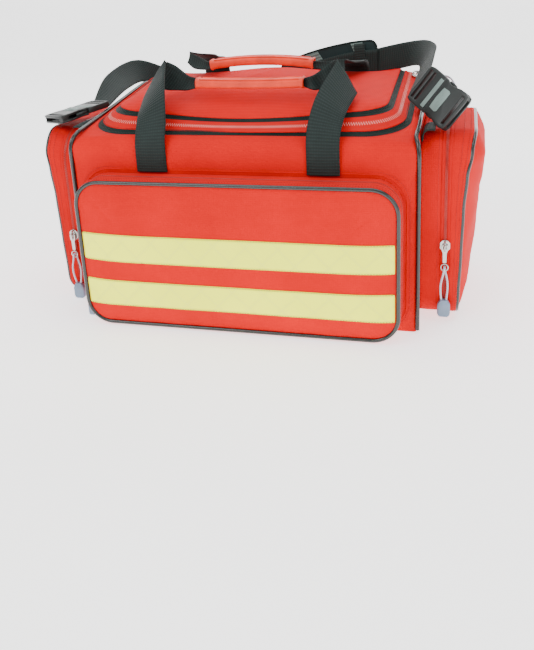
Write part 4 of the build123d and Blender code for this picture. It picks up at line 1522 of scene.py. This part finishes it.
def build_tag(name, matrix, centre):
    """Moulded tag: chamfered block with a flared mouth for the two cord ends and shallow grip ridges."""
    wide, thick, tall = TAG_SIZE
    half = tall / 2
    profile = [(-half, 0.72), (-half + 1.2, 0.86), (-half + 4, 1.0), (half - 7, 1.0), (half - 3.6, 0.84),
               (half - 1.2, 0.62), (half, 0.56)]
    vertices = []
    count = 32
    rows = []
    for a, b in zip(profile, profile[1:]):
        for k in range(4):
            t = k / 4
            rows.append((a[0] + (b[0] - a[0]) * t, a[1] + (b[1] - a[1]) * t))
    rows.append(profile[-1])
    for y, size in rows:
        ridge = 0.35 * max(0.0, math.sin((y + half) * 2.1)) if -half + 3 < y < half - 8 else 0
        for x, z in superellipse(wide * size, thick * (0.5 + 0.5 * size) - 2 * ridge, count, 4.5):
            vertices.append(matrix @ (mm(x, y, z) + mm(*centre)))
    faces = grid_faces(len(rows), count, closed_columns=True)
    faces.append(tuple(range(count)))
    faces.append(tuple(reversed(range((len(rows) - 1) * count, len(rows) * count))))
    obj = new_object(name, vertices, faces, "pull_tag")
    fix_normals(obj)
    obj.data.set_sharp_from_angle(angle=math.radians(50))
    return obj


def build_pull(name, matrix, reach, loop, world_loop=None, tag_matrix=None, tag_centre=None):
    slider = build_slider(name + "_slider_casting", matrix)
    settle(slider, "slider_metal", name + "_slider", name + "_slider")
    tab = build_tab(name + "_tab_stamping", matrix, reach)
    settle(tab, "slider_metal", name + "_pull_tab", name + "_pull_tab")
    tag = build_tag(name + "_tag_moulding", tag_matrix or matrix, tag_centre or (0, loop[0][1] - reach - 11, 5.2))
    settle(tag, "pull_tag", name + "_pull_tag", name + "_pull_tag")
    points = world_loop or [(x, y - reach, z) for x, y, z in loop]
    line = cord_curve(name + "_cord", points, Matrix() if world_loop else matrix)
    settle(line, "pull_cord", name + "_pull_tag", name + "_pull_cord")


# ---------------------------------------------------------------- assembly
build_body()
build_rim()
build_lid()
build_lid_hinge()
build_pocket_seam()
build_body_piping(1, "right_body_piping_cord", "right_body_piping")
build_body_piping(-1, "left_body_piping_cord", "left_body_piping")
front_tree = build_pocket(FRONT_POCKET, "front_flap", (12.0, 15.7, 19.2, 37.0), 8.0, 2.6, 4.0, 1.0)
build_pocket(RIGHT_POCKET, "right_flap", (26.8, 30.9, 34.8, 55.0), 24.0, 2.4, 4.0, 2.0)
build_pocket(LEFT_POCKET, "left_flap", (26.8, 30.9, 34.8, 55.0), 24.0, 2.4, 4.0, 3.0)
bands = [build_band(front_tree, 31, 69, "band_lower"), build_band(front_tree, 93, 131, "band_upper")]
bands = joined("reflective_band_tapes", bands)
settle(bands, "reflective_tape", "front_flap", "reflective_bands")
build_front_webs()
build_rear_webs()
build_grip("front_grip_moulding", "front_handle_grip", "front_handle", -55, 297, -1.5)
build_grip("rear_grip_moulding", "rear_handle_grip", "rear_handle", 11, 311, 5)
build_strap()
build_pad()
build_strap_anchors()
build_buckle("right_buckle", (262, -84, 261), (214, -30, 292), (.65, .05, .76))
build_buckle("left_buckle", (-276, -82, 252), (-233, -14, 262), (.84, -.53, .1))
build_pull("right_pocket", pull_frame((250.8, -106, 104), (1, 0, 0), (0, -1, 0)), 27, LONG_LOOP)
build_pull("left_pocket", pull_frame((-250.8, -106, 96), (1, 0, 0), (0, -1, 0)), 27, LONG_LOOP)
build_pull("front_pocket", pull_frame((-203, -155.7, 56), (0, -1, 0), (-1, 0, 0)), 17, SHORT_LOOP)
build_pull("main", pull_frame((201, 100, 276.3), (0, 1, 0), (.342, 0, .94)), 27, None, MAIN_LOOP,
           pull_frame((257.9, 66.5, 249.5), (.93, .35, 0), (0, 0, 1)), (0, 0, 0))
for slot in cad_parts["base_board"].material_slots:
    slot.material = MATERIALS["board"]


# ---------------------------------------------------------------- light and floor
def area_light(name, place, target, size, energy, colour=(1, 1, 1)):
    data = bpy.data.lights.new(name, "AREA")
    data.shape = "RECTANGLE"
    data.size, data.size_y = size
    data.energy = energy
    data.color = colour
    obj = bpy.data.objects.new(name, data)
    direction = Vector(target) - Vector(place)
    obj.matrix_world = Matrix.Translation(place) @ direction.to_track_quat("-Z", "Y").to_matrix().to_4x4()
    bpy.context.collection.objects.link(obj)


def studio():
    work = bmesh.new()
    bmesh.ops.create_grid(work, x_segments=60, y_segments=60, size=6)
    for vertex in work.verts:
        rise = max(0.0, vertex.co.y - 1.6)
        vertex.co.z = min(3.5, rise * rise * 0.9)
        vertex.co.y = min(vertex.co.y, 3.6)
    mesh = bpy.data.meshes.new("floor")
    work.to_mesh(mesh)
    work.free()
    n = Nodes("floor_paper")
    cloud = n.noise(3.0, 3.0)
    colour = n.ramp(cloud, [(0.3, (0.90, 0.90, 0.90)), (0.7, (0.94, 0.94, 0.94))])
    mesh.materials.append(n.finish(colour, 0.7, n.bump(n.noise(400.0, 2.0), 0.0001, 0.3),
                                   Emission_Color=(1, 1, 1, 1), Emission_Strength=1.5))
    mesh.polygons.foreach_set("use_smooth", [True] * len(mesh.polygons))
    obj = bpy.data.objects.new("floor", mesh)
    bpy.context.collection.objects.link(obj)
    world = bpy.data.worlds.new("studio")
    world.use_nodes = True
    world.node_tree.nodes["Background"].inputs["Color"].default_value = (1, 1, 1, 1)
    world.node_tree.nodes["Background"].inputs["Strength"].default_value = 0.7
    bpy.context.scene.world = world
    area_light("key", (-1.1, -1.6, 1.9), (0, 0, 0.15), (1.6, 1.2), 33)
    area_light("fill", (1.8, -1.2, 1.2), (0, 0, 0.15), (1.4, 1.2), 17)
    area_light("top", (0.1, 0.3, 2.2), (0, 0, 0.2), (2.0, 1.6), 26)


studio()
